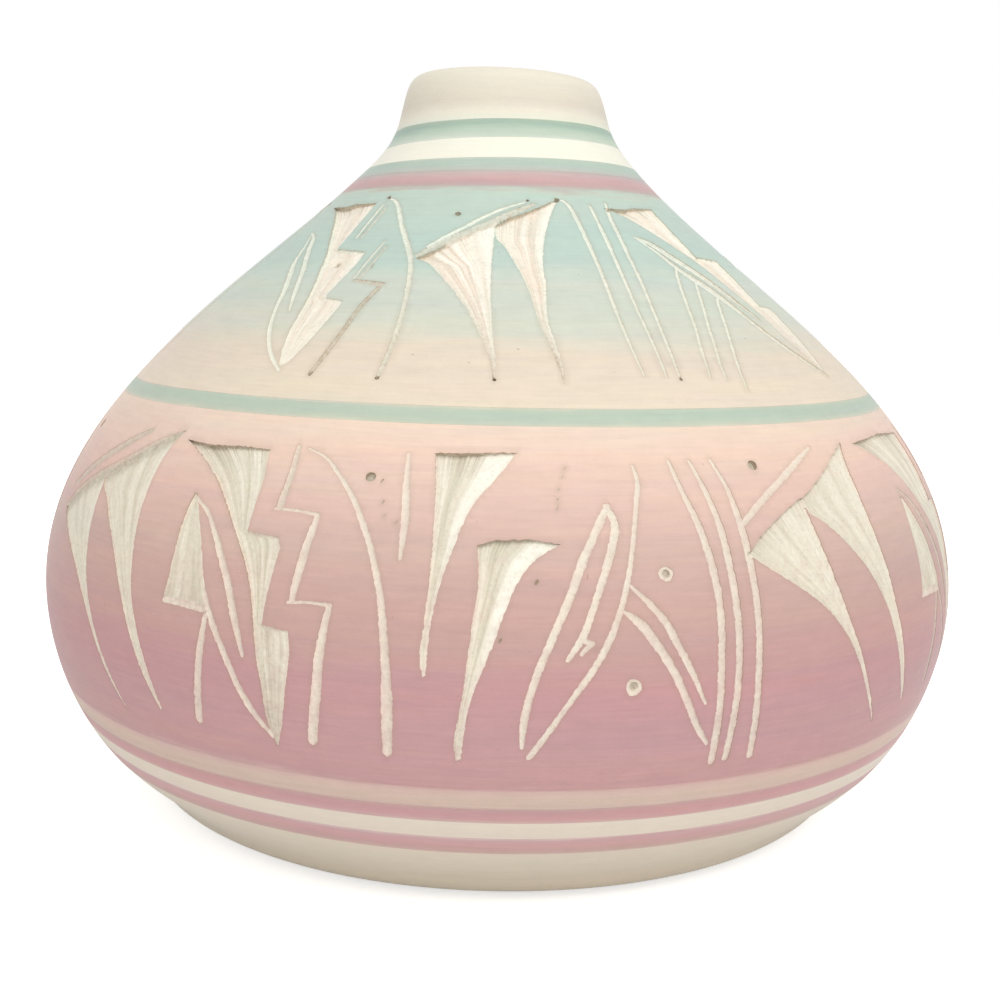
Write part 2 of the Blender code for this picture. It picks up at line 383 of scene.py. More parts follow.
def scraped(left, right, top=(), stepped=False, ledges=(), depth=SCRAPE_DEPTH_MM, streak=1.0, hatch=1.0,
            tail=0.0, pale=0.0, grime=0.6):
    """A broad figure scraped down to a tip: its left and right edge run from the top to the tip.

    Painted shade darkens it under its top and ledges, and it darkens towards its tail. Its floor is more or
    less streaked and hatched, and a share of it along the right is lit by a painted highlight.
    """
    left_edge = flowing(left)
    right_edge = straight(right) if stepped else flowing(right)
    top_edge = straight([left[0], *top, right[0]])
    outline = np.vstack((left_edge[::-1], top_edge[1:-1], right_edge[:-1]))
    figure = {"kind": "scraped", "outline": outline, "left": left_edge, "right": right_edge, "top": top_edge}
    for number, ledge in enumerate(ledges):
        figure[f"ledge{number}"] = straight(ledge)
    return dict(figure, depth=depth, streak=streak, hatch=hatch, tail=tail, pale=pale, grime=grime,
                shade_mm=SHADED_EDGE_MM)


def scored(path, depth=SCORE_DEPTH_MM, wide=1.0, grime=0.0, tail=0.0, clean=1.0):
    """A line scored along a path of angle, height and width: a groove, deepest along its middle.

    Its colour may be darkened, for painted shade and for grime, all along it or towards its tail, or be
    cleaner than that of others.
    """
    line = flowing(path)
    line[:, 2] *= wide
    way = np.gradient(line[:, :2], axis=0)
    round_mm, up_mm = size_of_degree(line[:, 1]), slant_at(line[:, 1])
    way = way * np.stack((round_mm, up_mm), axis=1)
    way /= np.linalg.norm(way, axis=1)[:, None] + 1e-9
    side = np.stack((-way[:, 1] / round_mm, way[:, 0] / up_mm), axis=1) * line[:, 2:] / 2
    ahead = np.stack((way[:, 0] / round_mm, way[:, 1] / up_mm), axis=1) * line[:, 2:] / 2
    start, end = ([line[k, :2] + side[k] * math.cos(turn) + sign * ahead[k] * math.sin(turn)
                   for turn in np.radians((45, 90, 135))] for k, sign in ((0, -1), (-1, 1)))
    outline = np.vstack((line[:, :2] + side, end, (line[:, :2] - side)[::-1], start[::-1]))
    shake = np.clip(line[:, 2] / FULL_SHAKE_WIDTH_MM, 0.1, 1)[:, None]
    shake = np.vstack((shake, shake[[-1] * 3], shake[::-1], shake[[0] * 3]))
    return {
        "kind": "scored", "outline": outline, "line": line, "shake": shake,
        "depth": depth, "grime": grime, "tail": tail, "clean": clean,
    }


def punched(angle, height, across, depth=PUNCH_DEPTH_MM, grime=0.6):
    """A round mark pressed with the end of a tool."""
    turn = np.radians(np.arange(0, 360, PUNCH_STEP_DEG))
    angle = wound(angle, height)
    wide, tall = across / 2 / size_of_degree(height), across / 2 / slant_at(height)
    outline = np.stack((angle + wide * np.cos(turn), height + tall * np.sin(turn)), axis=1)
    # The pit is darkened as painted shade
    return {"kind": "punched", "outline": outline, "shake": 0.5, "depth": depth, "grime": grime}


def ringed(angle, height, across):
    """A pressed ring, pale round a middle darkened by painted shade in its pit."""
    return [
        dict(punched(angle, height, across, 0.15, 0.1), shake=1.6),
        punched(angle, height, across * 0.62, 0.25, 0.2),
        punched(angle + 0.1, height + 0.15, across * 0.4, 0.5, 0.9),
    ]


def moved(figure, turn, stretch=1.0, slant=0.0, rise=0.0, tilt=0.0):
    """A copy of a figure further round the vase, if need be wider, leaning, higher or tilted."""
    copy = dict(figure)
    for part, path in figure.items():
        if isinstance(path, np.ndarray) and part != "shake":
            copy[part] = path.copy()
            copy[part][:, 0] = path[:, 0] * stretch + turn + slant * path[:, 1]
            copy[part][:, 1] = path[:, 1] + rise + tilt * copy[part][:, 0]
    return copy


def placed(figures, *turns, **changes):
    """Copies of a set of figures at one or more angles round the vase."""
    return [moved(figure, turn, **changes) for turn in turns for figure in figures]


def lower_feathers(bar_depth=SCORE_DEPTH_MM, bar_wide=1.0):
    """Two hanging feathers under a slanting bar."""
    bar = [(26.3, 65.6, 0.9), (29.8, 68.8, 1.2), (34, 71.8, 1.2), (38, 74.3, 1.1), (41.2, 76, 0.6)]
    return [
        scored(bar, bar_depth, bar_wide),
        scraped(
            left=[(26.3, 61.4), (29, 58.8), (32, 56), (35, 52.7), (37.5, 48.6), (39.3, 44.5), (40.8, 40),
                  (42.4, 35.3), (44.2, 30.9)],
            right=[(35.7, 68.9), (36.1, 64.5), (36.7, 60), (37.5, 55.4), (38.7, 50), (40.1, 45), (41.5, 40),
                   (42.9, 35.5), (44.4, 30.9)],
            top=[(28.2, 63.8), (30.5, 65.7), (33, 67.4)],
            streak=0.4,
            hatch=0.75,
        ),
        scraped(
            left=[(35.5, 68.6), (36, 66.9), (38, 65), (40.5, 61.5), (42.7, 57.8), (44.4, 53.8), (45.8, 49.5),
                  (47.1, 44.5), (48.2, 40), (49.3, 36), (50.4, 32.4)],
            right=[(48.2, 76.3), (47.1, 74.2), (46.4, 71), (46.2, 67.5), (46.3, 62.5), (46.8, 57), (47.4, 51),
                   (48.2, 46.5), (49.1, 41.5), (50, 36.5), (50.7, 32.4)],
            top=[(38, 70.1), (41, 72), (45, 74.6)],
            streak=0.4,
            hatch=0.4,
        ),
    ]


def lower_flag(spread=0.0):
    """A stepped flag, spread to the right if need be, and the lightning, arch and dot beside it."""
    tip, tall = 31, 44
    steps = [(-26.2, 74.8), (-25.7, 70), (-26.1, 63.1), (-22.3, 62.7), (-21.9, 61.3), (-22.9, 52.5),
             (-23.1, 49.9), (-20.2, 49.4), (-20, 46), (-20.9, 38.5), (-21.5, 34.4), (-22.3, tip)]
    steps = [(angle + spread * (height - tip) / tall, height) for angle, height in steps]
    flag = scraped(
        left=[(-39.2, 74.9), (-37, 73.7), (-34.5, 72), (-32, 69.7), (-30, 67), (-28.3, 63.9), (-26.8, 61),
              (-25.6, 58), (-24.7, 54.5), (-24.1, 49.5), (-23.8, 45), (-23.4, 41), (-23.2, 36.5),
              (-22.8, 33), (-22.4, tip)],
        right=steps,
        top=[(-35, 74.6 + 0.1 * spread), (-30, 74.9 + 0.12 * spread)],
        stepped=True,
        ledges=[steps[2:4], steps[6:8]],
        streak=0.65,
        tail=0.55,
    )
    beside = [
        scored([(-22.6, 75.6, 0.9), (-22.5, 72, 1.2), (-22.9, 67, 1.4)], grime=0.2),
        scored([(-23.3, 66.6, 0.55), (-21, 66.6, 0.5), (-18.3, 66.3, 0.6)]),
        scored([(-18.4, 66, 1.0), (-19.1, 61.5, 1.4), (-19.6, 57.5, 1.4), (-20, 54, 1.0)]),
        scored([(-20.4, 53.6, 0.5), (-18, 53.9, 0.5), (-15.9, 53.8, 0.6)]),
        scored([(-16.1, 53.4, 1.0), (-16.9, 47, 1.5), (-17.3, 42, 1.7), (-18.3, 32.8, 1.6)]),
        scored([(-21.2, 75.4, 0.4), (-19, 74.4, 0.5), (-17, 72.2, 0.7), (-15, 69.2, 0.9), (-13.2, 65, 1.0),
                (-11.9, 60.5, 1.0), (-11.1, 56, 1.1), (-10.6, 50, 1.3), (-10.4, 45, 1.4), (-10.4, 40, 1.8),
                (-10.7, 32.2, 1.5)]),
        punched(-13.3, 72, 1.6, grime=0.5),
    ]
    return [flag], placed(beside, spread)


def lower_leaf():
    """The leaf below the flag, with the bright line along its base."""
    leaf = scraped(
        left=[(-34.5, 67.5), (-35, 63), (-35.2, 58), (-35.5, 53.5), (-35.9, 50.7)],
        right=[(-34, 67.3), (-32.7, 64), (-31.6, 60.5), (-30.6, 56), (-29.9, 52.6), (-29.8, 50.4),
               (-31.8, 50.6), (-33.8, 50.8), (-35.8, 50.6)],
        stepped=True,
        ledges=[[(-29.9, 51.2), (-35.6, 51.5)]],
        depth=0.45,
        streak=0.6,
        hatch=0.0,
        tail=0.25,
    )
    return [leaf, scored([(-35.7, 51, 0.7), (-33, 51, 1.0), (-30.2, 50.7, 0.8)])]


def leaf_stems(depth=SCORE_DEPTH_MM, grime=0.0):
    """The three curved lines round the leaf."""
    paths = [
        [(-30.2, 53.5, 0.7), (-29, 49, 1.2), (-27.6, 45, 1.2), (-26.1, 40, 1.2), (-24.7, 36.3, 1.2),
         (-22.7, 32.6, 0.7)],
        [(-29.9, 49.8, 1.0), (-30.5, 45, 1.4), (-31.1, 40, 1.5), (-31.8, 33, 1.6)],
        [(-34, 66.9, 0.5), (-31.5, 64.6, 0.8), (-30.1, 62, 1.0), (-28.6, 58.5, 1.3), (-27.4, 55, 1.4),
         (-26.6, 51.5, 1.4), (-25.8, 47.5, 1.1), (-25.3, 44.8, 0.6)],
    ]
    return [scored(path, depth, grime=grime) for path in paths]


def lower_strokes():
    """Short line, two hooked blades, a loop with its branches, two rings and a dot."""
    return [
        scored([(-9.5, 75.4, 0.6), (-9.3, 71, 1.1), (-9.1, 66.5, 1.3), (-9.3, 61, 0.5)]),
        scraped(
            left=[(-6.5, 75.7), (-6.2, 70), (-6.2, 65), (-6.3, 60), (-6.6, 55), (-6.9, 51), (-7.2, 47),
                  (-6.95, 44.3)],
            right=[(2.4, 76.1), (0, 72.3), (-2, 69.3), (-3.1, 66.6), (-4.2, 62.5), (-5.2, 58.2), (-5.9, 54),
                   (-6.3, 50), (-6.55, 46), (-6.7, 44.3)],
            streak=0.72,
            hatch=0.7,
            pale=0.45,
        ),
        scraped(
            left=[(-1.8, 63.3), (-1.7, 58), (-2.2, 53), (-2.7, 48), (-3.1, 43.5), (-3.7, 38.5), (-4.2, 34.5),
                  (-4.1, 31.5)],
            right=[(6.3, 63.7), (3.4, 61), (2.1, 58.5), (1, 55), (0, 51), (-1, 47), (-2, 43.3), (-2.7, 40),
                   (-3.3, 35), (-3.6, 31.5)],
            top=[(0, 64.1), (3, 64.3)],
            streak=0.72,
            hatch=0.6,
            tail=0.25,
            pale=0.5,
        ),
        scored([(11.6, 68.9, 0.9), (10.7, 67, 1.3), (10, 65.4, 1.2), (8.5, 61.5, 1.3), (7, 56.5, 1.3),
                (5.3, 51, 1.2), (4, 46.5, 1.2), (3, 42, 1.2), (2.4, 38, 1.2), (2.2, 34, 0.6)], clean=1.15),
        scored([(11.4, 68.9, 0.9), (12.1, 66.6, 1.3), (11.9, 65, 1.3), (11.3, 62.5, 1.3), (10.3, 59, 1.2),
                (9.2, 55, 1.1), (8.1, 51, 1.2), (6.6, 47.5, 0.8)], clean=1.18),
        scored([(7.8, 50.4, 0.8), (8.4, 50.1, 0.9), (8.9, 49.7, 0.9)]),
        scored([(9, 49.8, 0.8), (8.4, 49.2, 0.9), (7.9, 48.3, 0.7)]),
        scored([(15.2, 74.4, 0.4), (15.4, 72.5, 0.8), (14.8, 69.5, 0.8), (14, 65.3, 0.8), (13.3, 61.5, 0.8),
                (12.7, 58.5, 0.9), (11.8, 54.5, 1.0), (10.5, 50, 1.1), (9.3, 46.8, 1.1), (7.8, 43.5, 1.0),
                (6, 39.5, 0.9), (4.5, 36, 1.0), (2.9, 32.4, 1.0)], clean=1.1),
        scored([(12.9, 57.9, 0.5), (14.5, 55.6, 1.0), (16, 53, 1.2), (17.2, 49.5, 1.2), (18.5, 45.5, 1.1),
                (20.1, 40, 0.5)]),
        scored([(12, 54.4, 0.5), (13.5, 52.7, 1.4), (15.2, 49.3, 1.4), (16.8, 45.3, 1.3), (18.2, 40.5, 1.2),
                (19.5, 36, 1.1), (20.6, 33.3, 0.7)]),
        *ringed(16.7, 59.4, 2.3),
        *ringed(12.8, 43.2, 2.6),
        punched(30.5, 74, 1.7, grime=0.45),
    ]


def lower_rain():
    """The three long rain lines."""
    return [
        scored([(19.6, 75, 0.6), (20.3, 70.5, 0.9), (21.2, 66, 1.2), (21.7, 61.5, 1.3), (22, 57, 1.3),
                (22, 51, 1.3), (21.8, 45, 1.3), (21.7, 39, 1.3), (21.5, 34, 1.4), (21.4, 30, 1.2)]),
        scored([(22.2, 75, 0.5), (23, 71, 0.9), (23.6, 66.5, 1.2), (23.8, 61, 1.3), (23.9, 55, 1.3),
                (23.9, 50, 1.3), (23.7, 44, 1.3), (23.4, 38, 1.3), (22.9, 30.4, 1.2)]),
        scored([(25, 75, 0.5), (25.9, 71, 0.9), (26.2, 66.5, 1.3), (26.3, 61, 1.4), (26.3, 55, 1.3),
                (26.2, 49, 1.3), (26, 43, 1.3), (25.9, 36, 1.3), (25.85, 30.2, 1.2)]),
    ]


def lower_chips():
    """Short dark scratches in the slip of the front."""
    places = [(3.9, 58.6, 0.35, 0.5), (0.35, 50.4, 0.35, 0.45), (7.6, 74.2, 0.3, 0.16), (7.2, 72.9, 0.2, 0.2),
              (6.7, 71.3, 0.3, 0.18), (6.5, 69.9, 0.2, 0.2), (6.4, 68.9, 0.5, 0.16), (-11.9, 71.7, 0.3, 0.3),
              (-11.5, 68.8, 0.4, 0.26), (-11.2, 66.9, 0.2, 0.2), (-9.9, 66.1, 0.3, 0.2)]
    return [scored([(angle, height, wide), (angle - 0.15, height - long, wide)], 0.1, grime=0.5 + 0.9 * wide)
            for angle, height, long, wide in places]


def upper_flag(leaf_wide=1.0):
    """The stepped flag of the upper row, with its leaf, lightning line, arch and dots."""
    flag = scraped(
        left=[(-58, 115), (-54, 114.2), (-50, 112.8), (-46, 110.8), (-42, 108.3), (-38.8, 105.8),
              (-36.6, 103), (-34.8, 100), (-33.7, 97), (-33, 93), (-32.1, 90), (-30.8, 87.2)],
        right=[(-37.4, 115.5), (-37.2, 111), (-37, 106.9), (-28.6, 106.4), (-28.4, 105), (-30.3, 99),
               (-30.1, 98.4), (-26.3, 98), (-26.3, 97), (-28.2, 91), (-29.2, 88.6), (-30.1, 87.2)],
        top=[(-50, 115), (-46, 115.4), (-42, 115.4)],
        stepped=True,
        ledges=[[(-37, 106.9), (-28.6, 106.4)], [(-31.5, 98.5), (-26.3, 98)]],
        streak=0.6,
    )
    return [
        flag,
        scored([(-53.5, 110, 0.4), (-50, 109, 1.0), (-46, 106.4, 1.2), (-43, 104.3, 1.2), (-41, 102.5, 1.2),
                (-38.5, 99.5, 1.0), (-36, 96.1, 0.4)], wide=leaf_wide),
        scored([(-53.3, 109.9, 0.4), (-50, 107.6, 0.6), (-47, 104.4, 1.0), (-43.8, 101.8, 1.4),
                (-41.5, 99.4, 1.2), (-40, 97, 0.9), (-37, 92.6, 0.9), (-34, 89.4, 0.9), (-30.4, 86.5, 0.6)],
               wide=leaf_wide),
        scored([(-34.2, 115.2, 0.4), (-34.3, 112, 0.5), (-34.1, 108.9, 0.4)], 0.25),
        scored([(-32.3, 114.6, 0.4), (-32.4, 111.5, 0.5), (-32.6, 108.9, 0.4)], 0.25, grime=0.35),
        scored([(-25.4, 108.4, 0.4), (-26.3, 105, 0.5), (-27, 101.8, 0.4)], 0.25, grime=0.2),
        scored([(-24.2, 107.4, 0.4), (-25, 104.4, 0.5), (-25.7, 101.8, 0.4)], 0.25, grime=0.4),
        scored([(-26.6, 101.5, 0.6), (-23.5, 101.2, 0.9), (-20.2, 100.9, 1.0)], 0.2, grime=0.6),
        scored([(-20.6, 100.6, 0.9), (-22.3, 97, 1.0), (-23, 94, 0.9), (-24, 90, 1.0), (-25.1, 86.3, 0.8)],
               0.25, grime=0.75),
        scored([(-33.7, 116.4, 0.5), (-30, 115.5, 0.8), (-27, 113.8, 1.0), (-24, 111.5, 1.1),
                (-21, 109.2, 1.2), (-18.5, 107, 1.2), (-16.8, 105, 1.1), (-15.7, 102.5, 1.1),
                (-14.9, 99.5, 1.1), (-14.5, 96, 1.0), (-14.5, 92, 1.1), (-14.9, 88.5, 1.1),
                (-15.3, 86.1, 0.8)], wide=0.85, tail=0.55),
        punched(-25.1, 86.2, 0.8, grime=0.9),
        punched(-15.3, 86.1, 0.8, grime=0.9),
        punched(-34.2, 116.5, 0.8, grime=0.9),
        punched(-33.8, 104.4, 0.8, grime=0.9),
    ]


def upper_feathers():
    """The feathers of the upper row under their slanting bar and a band of painted shade, their dots, and the
    arch before the rain.
    """
    return [
        scored([(-14.6, 107.5, 0.5), (-11.5, 109.1, 0.8), (-8.1, 110.6, 0.9), (-2.8, 112.8, 0.8),
                (2, 114.3, 0.7), (8.4, 115.6, 0.4)]),
        # Painted shade: a soft olive band between the bar and the feathers' top edge
        scored([(-15.9, 105.9, 0.9), (-12.6, 107.7, 1.7), (-7.8, 109.4, 1.9), (-1, 111.7, 1.8),
                (5, 113.7, 1.4), (11, 115.3, 0.6)], 0.12, grime=0.45),
        scraped(
            left=[(-16, 105.4), (-13, 104.7), (-10, 102.8), (-7, 100.4), (-4.7, 98), (-3, 95.6), (-1.9, 93.2),
                  (-0.9, 91), (-0.3, 88.6), (-0.15, 86.5)],
            right=[(0.3, 111.6), (0.2, 109), (-0.1, 106), (-0.2, 102), (-0.1, 98), (0, 94), (0.3, 90),
                   (0.15, 86.5)],
            top=[(-12, 107.1), (-8, 109), (-4, 110.6)],
            streak=1.0,
            hatch=0.5,
            tail=1.1,
            pale=0.27,
            grime=0.5,
        ),
        scraped(
            left=[(0.2, 111.3), (0.5, 109.3), (2.5, 107.7), (4.2, 105.3), (5.7, 102.8), (6.8, 99.5),
                  (7.2, 96.5), (7.9, 93), (8.6, 90), (9.1, 86)],
            right=[(18.6, 116.4), (15, 113.4), (12.7, 110.5), (11, 107.3), (10.2, 104.5), (10, 101.5),
                   (9.3, 98.5), (8.9, 96), (9.3, 92), (9.5, 89), (9.3, 86)],
            top=[(4, 112.8), (8, 113.7), (12, 114.7), (16, 115.7)],
            streak=1.0,
            hatch=0.5,
            tail=1.3,
            pale=0.3,
            grime=0.5,
        ),
        scored([(15.6, 114.7, 0.5), (18, 115.9, 0.7), (20, 116.1, 0.8), (21.6, 115, 1.3), (22.2, 112, 1.4),
                (22.3, 108, 1.2), (22.1, 104, 1.1), (21.6, 100, 1.0), (21.1, 96.5, 0.9), (20.8, 93, 0.8),
                (20.7, 87.3, 0.5)], wide=0.7, tail=0.3),
        punched(-9.8, 113.3, 1.1, grime=0.45),
        punched(0.1, 86.4, 0.7, grime=0.9),
        punched(9.2, 115.9, 0.6, grime=0.5),
        punched(18.2, 116.2, 0.9, grime=0.9),
    ]


def upper_rain():
    """Long and short rain lines of the upper row, and a dot."""
    paths = [
        [(28.4, 115.4, 0.9), (28, 111, 1.3), (27.3, 107, 1.3), (26.5, 103, 1.1), (25.9, 100, 1.0),
         (25.2, 96, 0.9), (24.7, 92, 0.9), (24, 87, 0.5)],
        [(34.6, 115.9, 0.9), (33, 113, 1.4), (32.2, 110, 1.3), (31.2, 106.5, 1.2), (30.3, 103, 1.1),
         (29.2, 99.5, 1.0), (28, 95.5, 1.0), (27, 91.5, 1.0), (26, 86.8, 0.6)],
        [(43.6, 105.2, 0.4), (42, 104.3, 0.9), (39.5, 101.8, 1.0), (37, 98.3, 1.0), (35, 94.8, 1.0),
         (33, 91.5, 1.0), (31.2, 87, 0.6)],
        [(46.4, 103.5, 0.4), (43.5, 101, 1.0), (40.5, 97.8, 1.0), (38, 94.8, 1.0), (36, 91.5, 1.0),
         (34.7, 89.3, 0.9), (33.8, 86.7, 0.6)],
        [(49.3, 100.2, 0.4), (47, 99.5, 0.9), (44.5, 97.3, 1.1), (42, 94.5, 1.1), (40, 92, 1.1),
         (38, 89, 1.0), (36.3, 84.9, 0.6)],
    ]
    return [scored(path, wide=0.65, tail=0.3) for path in paths] + [punched(26, 86.7, 0.6, grime=0.35)]


def lower_row():
    """Figures of the lower row: one set for each quarter of the vase, spaced and varied as by hand.

    To the right the flag is wider, and its arch and dot are left out. To the left the feathers are
    shallow, with their bar darkened and a broad band along their top edge, both painted shade.
    """
    feathers, strokes, rain, leaf = lower_feathers(), lower_strokes(), lower_rain(), lower_leaf()
    flag, beside = lower_flag()
    figures = placed([*flag, *beside, *leaf_stems(), *leaf], 0, 178, -94)
    wide_flag, beside = lower_flag(5.9)
    softer_flag = [dict(figure, grime=0.3) for figure in wide_flag]
    lightning = beside[:5]
    figures += placed([*softer_flag, *lightning, *leaf_stems(0.12, 0.3)], 89.8, rise=1.0)
    figures += placed(leaf, 93.8, stretch=1.1, rise=-0.8)
    figures += placed([*strokes, *rain, *feathers], 0, 90, 177.5)
    figures += placed(strokes, -95, stretch=0.88) + placed(rain, -98)
    bar, *shadowed = lower_feathers(0.1, 1.5)
    # Painted shade: a soft dark band on the slip along the feathers' top edge
    painted_shade_band = scored([(26.2, 61.7, 0.7), (28, 63.8, 1.5), (30.4, 65.8, 1.8), (33, 67.5, 1.8),
                        (38, 70.3, 1.8), (41, 72.2, 1.6), (45, 74.7, 1.2), (47.7, 76, 0.5)], 0.08, grime=0.42)
    # Painted shade over a broad band under the feathers' top edge
    shadowed = [dict(figure, depth=0.4, shade_mm=2.6, streak=0.55, hatch=0.0) for figure in shadowed]
    # The bar is darkened as painted shade
    left_feathers = [dict(bar, grime=0.4), painted_shade_band, *shadowed]
    figures += placed(left_feathers, -90.5, stretch=1.045, rise=2.8, tilt=0.07)
    return figures + lower_chips()


def upper_row():
    """Figures of the upper row, in four sets, of which the one to the left has no rain.

    To the right the flag leans and has only its leaf beside it.
    """
    flag, feathers, rain = upper_flag(), upper_feathers(), upper_rain()
    right_flag, *right_leaf = upper_flag(1.5)[:3]
    right_set = [dict(right_flag, tail=0.6, grime=0.35), *[dict(line, tail=0.3) for line in right_leaf]]
    figures = placed(flag, 0, 180, -90) + placed(right_set, 81.3, slant=0.09)
    return figures + placed(feathers, 0, 92, 180, -90) + placed(rain, 0, 92, 180)


# Etched panels

# Marks of a cut's floor: number of the tool stroke, how bare the clay is, painted shade and grime,
# fine hatching, broad streaks, the pale lip along its edge, and a broad painted highlight along its lit right
# side
FLOOR_MARKS = ("strokes", "bare", "grime", "hatch", "streak", "lip", "pale")


def inside_outline(points, outline):
    """Which points lie inside an outline."""
    near = np.flatnonzero(np.all((points > outline.min(0)) & (points < outline.max(0)), axis=1))
    across, up = points[near].T
    inside = np.zeros(len(near), bool)
    for (x0, y0), (x1, y1) in zip(outline, np.roll(outline, -1, axis=0)):
        crosses = (y0 > up) != (y1 > up)
        reach = (x1 - x0) * (up - y0) / (y1 - y0 + 1e-12) + x0
        inside ^= crosses & (across < reach)
    every = np.zeros(len(points), bool)
    every[near] = inside
    return every


def distance_to(points, path):
    """Distance of each point from the nearest side of a path."""
    best = np.full(len(points), np.inf)
    for start, end in zip(path[:-1], path[1:]):
        side = end - start
        share = np.clip((points - start) @ side / (side @ side + 1e-12), 0, 1)
        best = np.minimum(best, np.linalg.norm(points - start - share[:, None] * side, axis=1))
    return best


def far_from(points, outline, least):
    """Which points keep a least distance from every side of an outline."""
    far = np.ones(len(points), bool)
    near = np.all((points > outline.min(0) - least) & (points < outline.max(0) + least), axis=1)
    far[near] = distance_to(points[near], np.vstack((outline, outline[:1]))) > least
    return far


def in_millimetres(path, height):
    """A path of angles and heights laid out flat in millimetres, at the scale of one height."""
    return path[:, :2] * np.array((size_of_degree(height), slant_at(height)))


def scored_floor(figure, angles, heights, line_bareness):
    """A groove with sloping sides and a pale lip, with painted shade along its right side and darker towards
    its tail.
    """
    line = figure["line"]
    sideways, upwards = angles[:, None] - line[None, :, 0], heights[:, None] - line[None, :, 1]
    nearest = np.argmin((sideways * DEGREE_MM) ** 2 + upwards**2, axis=1)
    points = np.stack((angles * size_of_degree(heights), heights * slant_at(heights)), axis=1)
    middle_line = np.stack(
        (line[nearest, 0] * size_of_degree(heights), line[nearest, 1] * slant_at(heights)), axis=1)
    offset = np.linalg.norm(points - middle_line, axis=1)
    middle = np.clip(1 - offset / (line[nearest, 2] / 2 + 0.01), 0, 1)
    width = np.clip(line[nearest, 2] / FULL_DEPTH_WIDTH_MM, 0.35, 1)
    depth = figure["depth"] * width * (0.45 + 0.55 * middle)
    none = np.zeros(len(angles))
    grime = figure["grime"] + figure["tail"] * (nearest / len(line)) ** 2
    # Painted shade along the right side of the groove
    grime = grime + LINE_SHADE * (1 - middle) * (angles > line[nearest, 0])
    bare = line_bareness * figure["clean"] * (1 - 0.45 * figure["grime"])
    return depth, np.stack((none - 1, none + bare, grime, none, none, 1 - middle, none))


def edge_at(edge, heights):
    """Angle of a figure's edge at some heights, carried on along its slope above its top."""
    falling = np.minimum.accumulate(edge[:, 1])
    slope = (edge[0, 0] - edge[TOP_SLOPE_STEPS, 0]) / (falling[0] - falling[TOP_SLOPE_STEPS] + 0.1)
    above = np.maximum(heights - falling[0], 0)
    return np.interp(-heights, -falling, edge[:, 0]) + slope * above


def scraped_floor(figure, angles, heights):
    """A dished, lightly fluted floor, deepest near the top, with painted shade under its top and ledges, and
    pale lips.
    """
    left, right = figure["left"], figure["right"]
    top, tip = max(left[0, 1], right[0, 1]), left[-1, 1]
    left_at, right_at = edge_at(left, heights), edge_at(right, heights)
    across = np.clip((angles - left_at) / (right_at - left_at + 1e-6), 0, 1)
    rise = np.clip((heights - tip) / (top - tip), 0, 1)
    widest = np.max((right_at - left_at) * size_of_degree(heights))
    strokes = across * max(2, round(widest / FLUTE_WIDTH_MM))
    near = np.sqrt(across / DEEPEST_ACROSS)
    far = np.clip((1 - across) / (1 - DEEPEST_ACROSS), 0, 1) ** 0.7
    dish = np.where(across < DEEPEST_ACROSS, 0.6 + 0.4 * near, 0.25 + 0.75 * far)
    flute = FLUTE_DEPTH_MM * np.abs(np.sin(math.pi * (strokes + 0.35 * np.sin(2.3 * strokes))))
    depth = figure["depth"] * (0.1 + 0.9 * rise**1.1) * dish - flute * np.clip(rise * 3, 0, 1) * dish
    points = in_millimetres(np.stack((angles, heights), axis=1), top)
    from_top = distance_to(points, in_millimetres(figure["top"], top))
    # Painted shade: darker under the top edge and the ledges, where the cut's wall shades its floor
    grime = np.clip(1.6 * (1 - from_top / figure["shade_mm"]), 0, 1)
    for ledge in ("ledge0", "ledge1"):
        if ledge in figure:
            from_ledge = distance_to(points, in_millimetres(figure[ledge], top))
            grime = np.maximum(grime, 0.7 * np.clip(1 - from_ledge / SHADED_EDGE_MM, 0, 1))
    hatch = figure["hatch"] * np.clip(1 - from_top / HATCH_MM, 0, 1)
    from_side = np.minimum(*[distance_to(points, in_millimetres(side, top)) for side in (left, right)])
    lip = np.clip(1 - from_side / PALE_LIP_MM, 0, 1)
    # Painted highlight: a pale band along the right of the floor, where the light falls
    pale = np.clip(5 * (across - 1 + figure["pale"]), 0, 1) * (figure["pale"] > 0)
    pale *= np.clip(2.2 * rise - 0.55, 0.1, 1)
    streak = np.full(len(angles), figure["streak"])
    # Darker towards the tail, kept in the same value as the painted shade
    darkening = figure["tail"] * np.clip(1 - rise / 0.7, 0, 1) ** 2 * np.clip(1.2 - across, 0, 1)
    grime = np.clip(np.maximum(figure["grime"] * grime, darkening), 0, 1)
    marks = np.stack((strokes, 0.85 + 0.15 * rise, grime, hatch, streak, lip, pale))
    return np.maximum(depth, LEAST_FLOOR_MM), marks


def cut_floor(figure, angles, heights, line_bareness):
    """Depth of a figure's floor in millimetres, and its marks in the order of FLOOR_MARKS."""
    if figure["kind"] == "scored":
        return scored_floor(figure, angles, heights, line_bareness)
    if figure["kind"] == "scraped":
        return scraped_floor(figure, angles, heights)
    none = np.zeros(len(angles))
    grime = none + figure["grime"]
    lip = none + max(0, 1 - 3 * figure["grime"])
    return figure["depth"] + none, np.stack((none - 1, none + 1, grime, none, none, lip, none))


def flattened(path, seam, round_mm, slant):
    """A path of angles and heights on the flat sheet, in millimetres from the seam."""
    return np.stack(((path[:, 0] - seam) * round_mm, path[:, 1] * slant), axis=1)


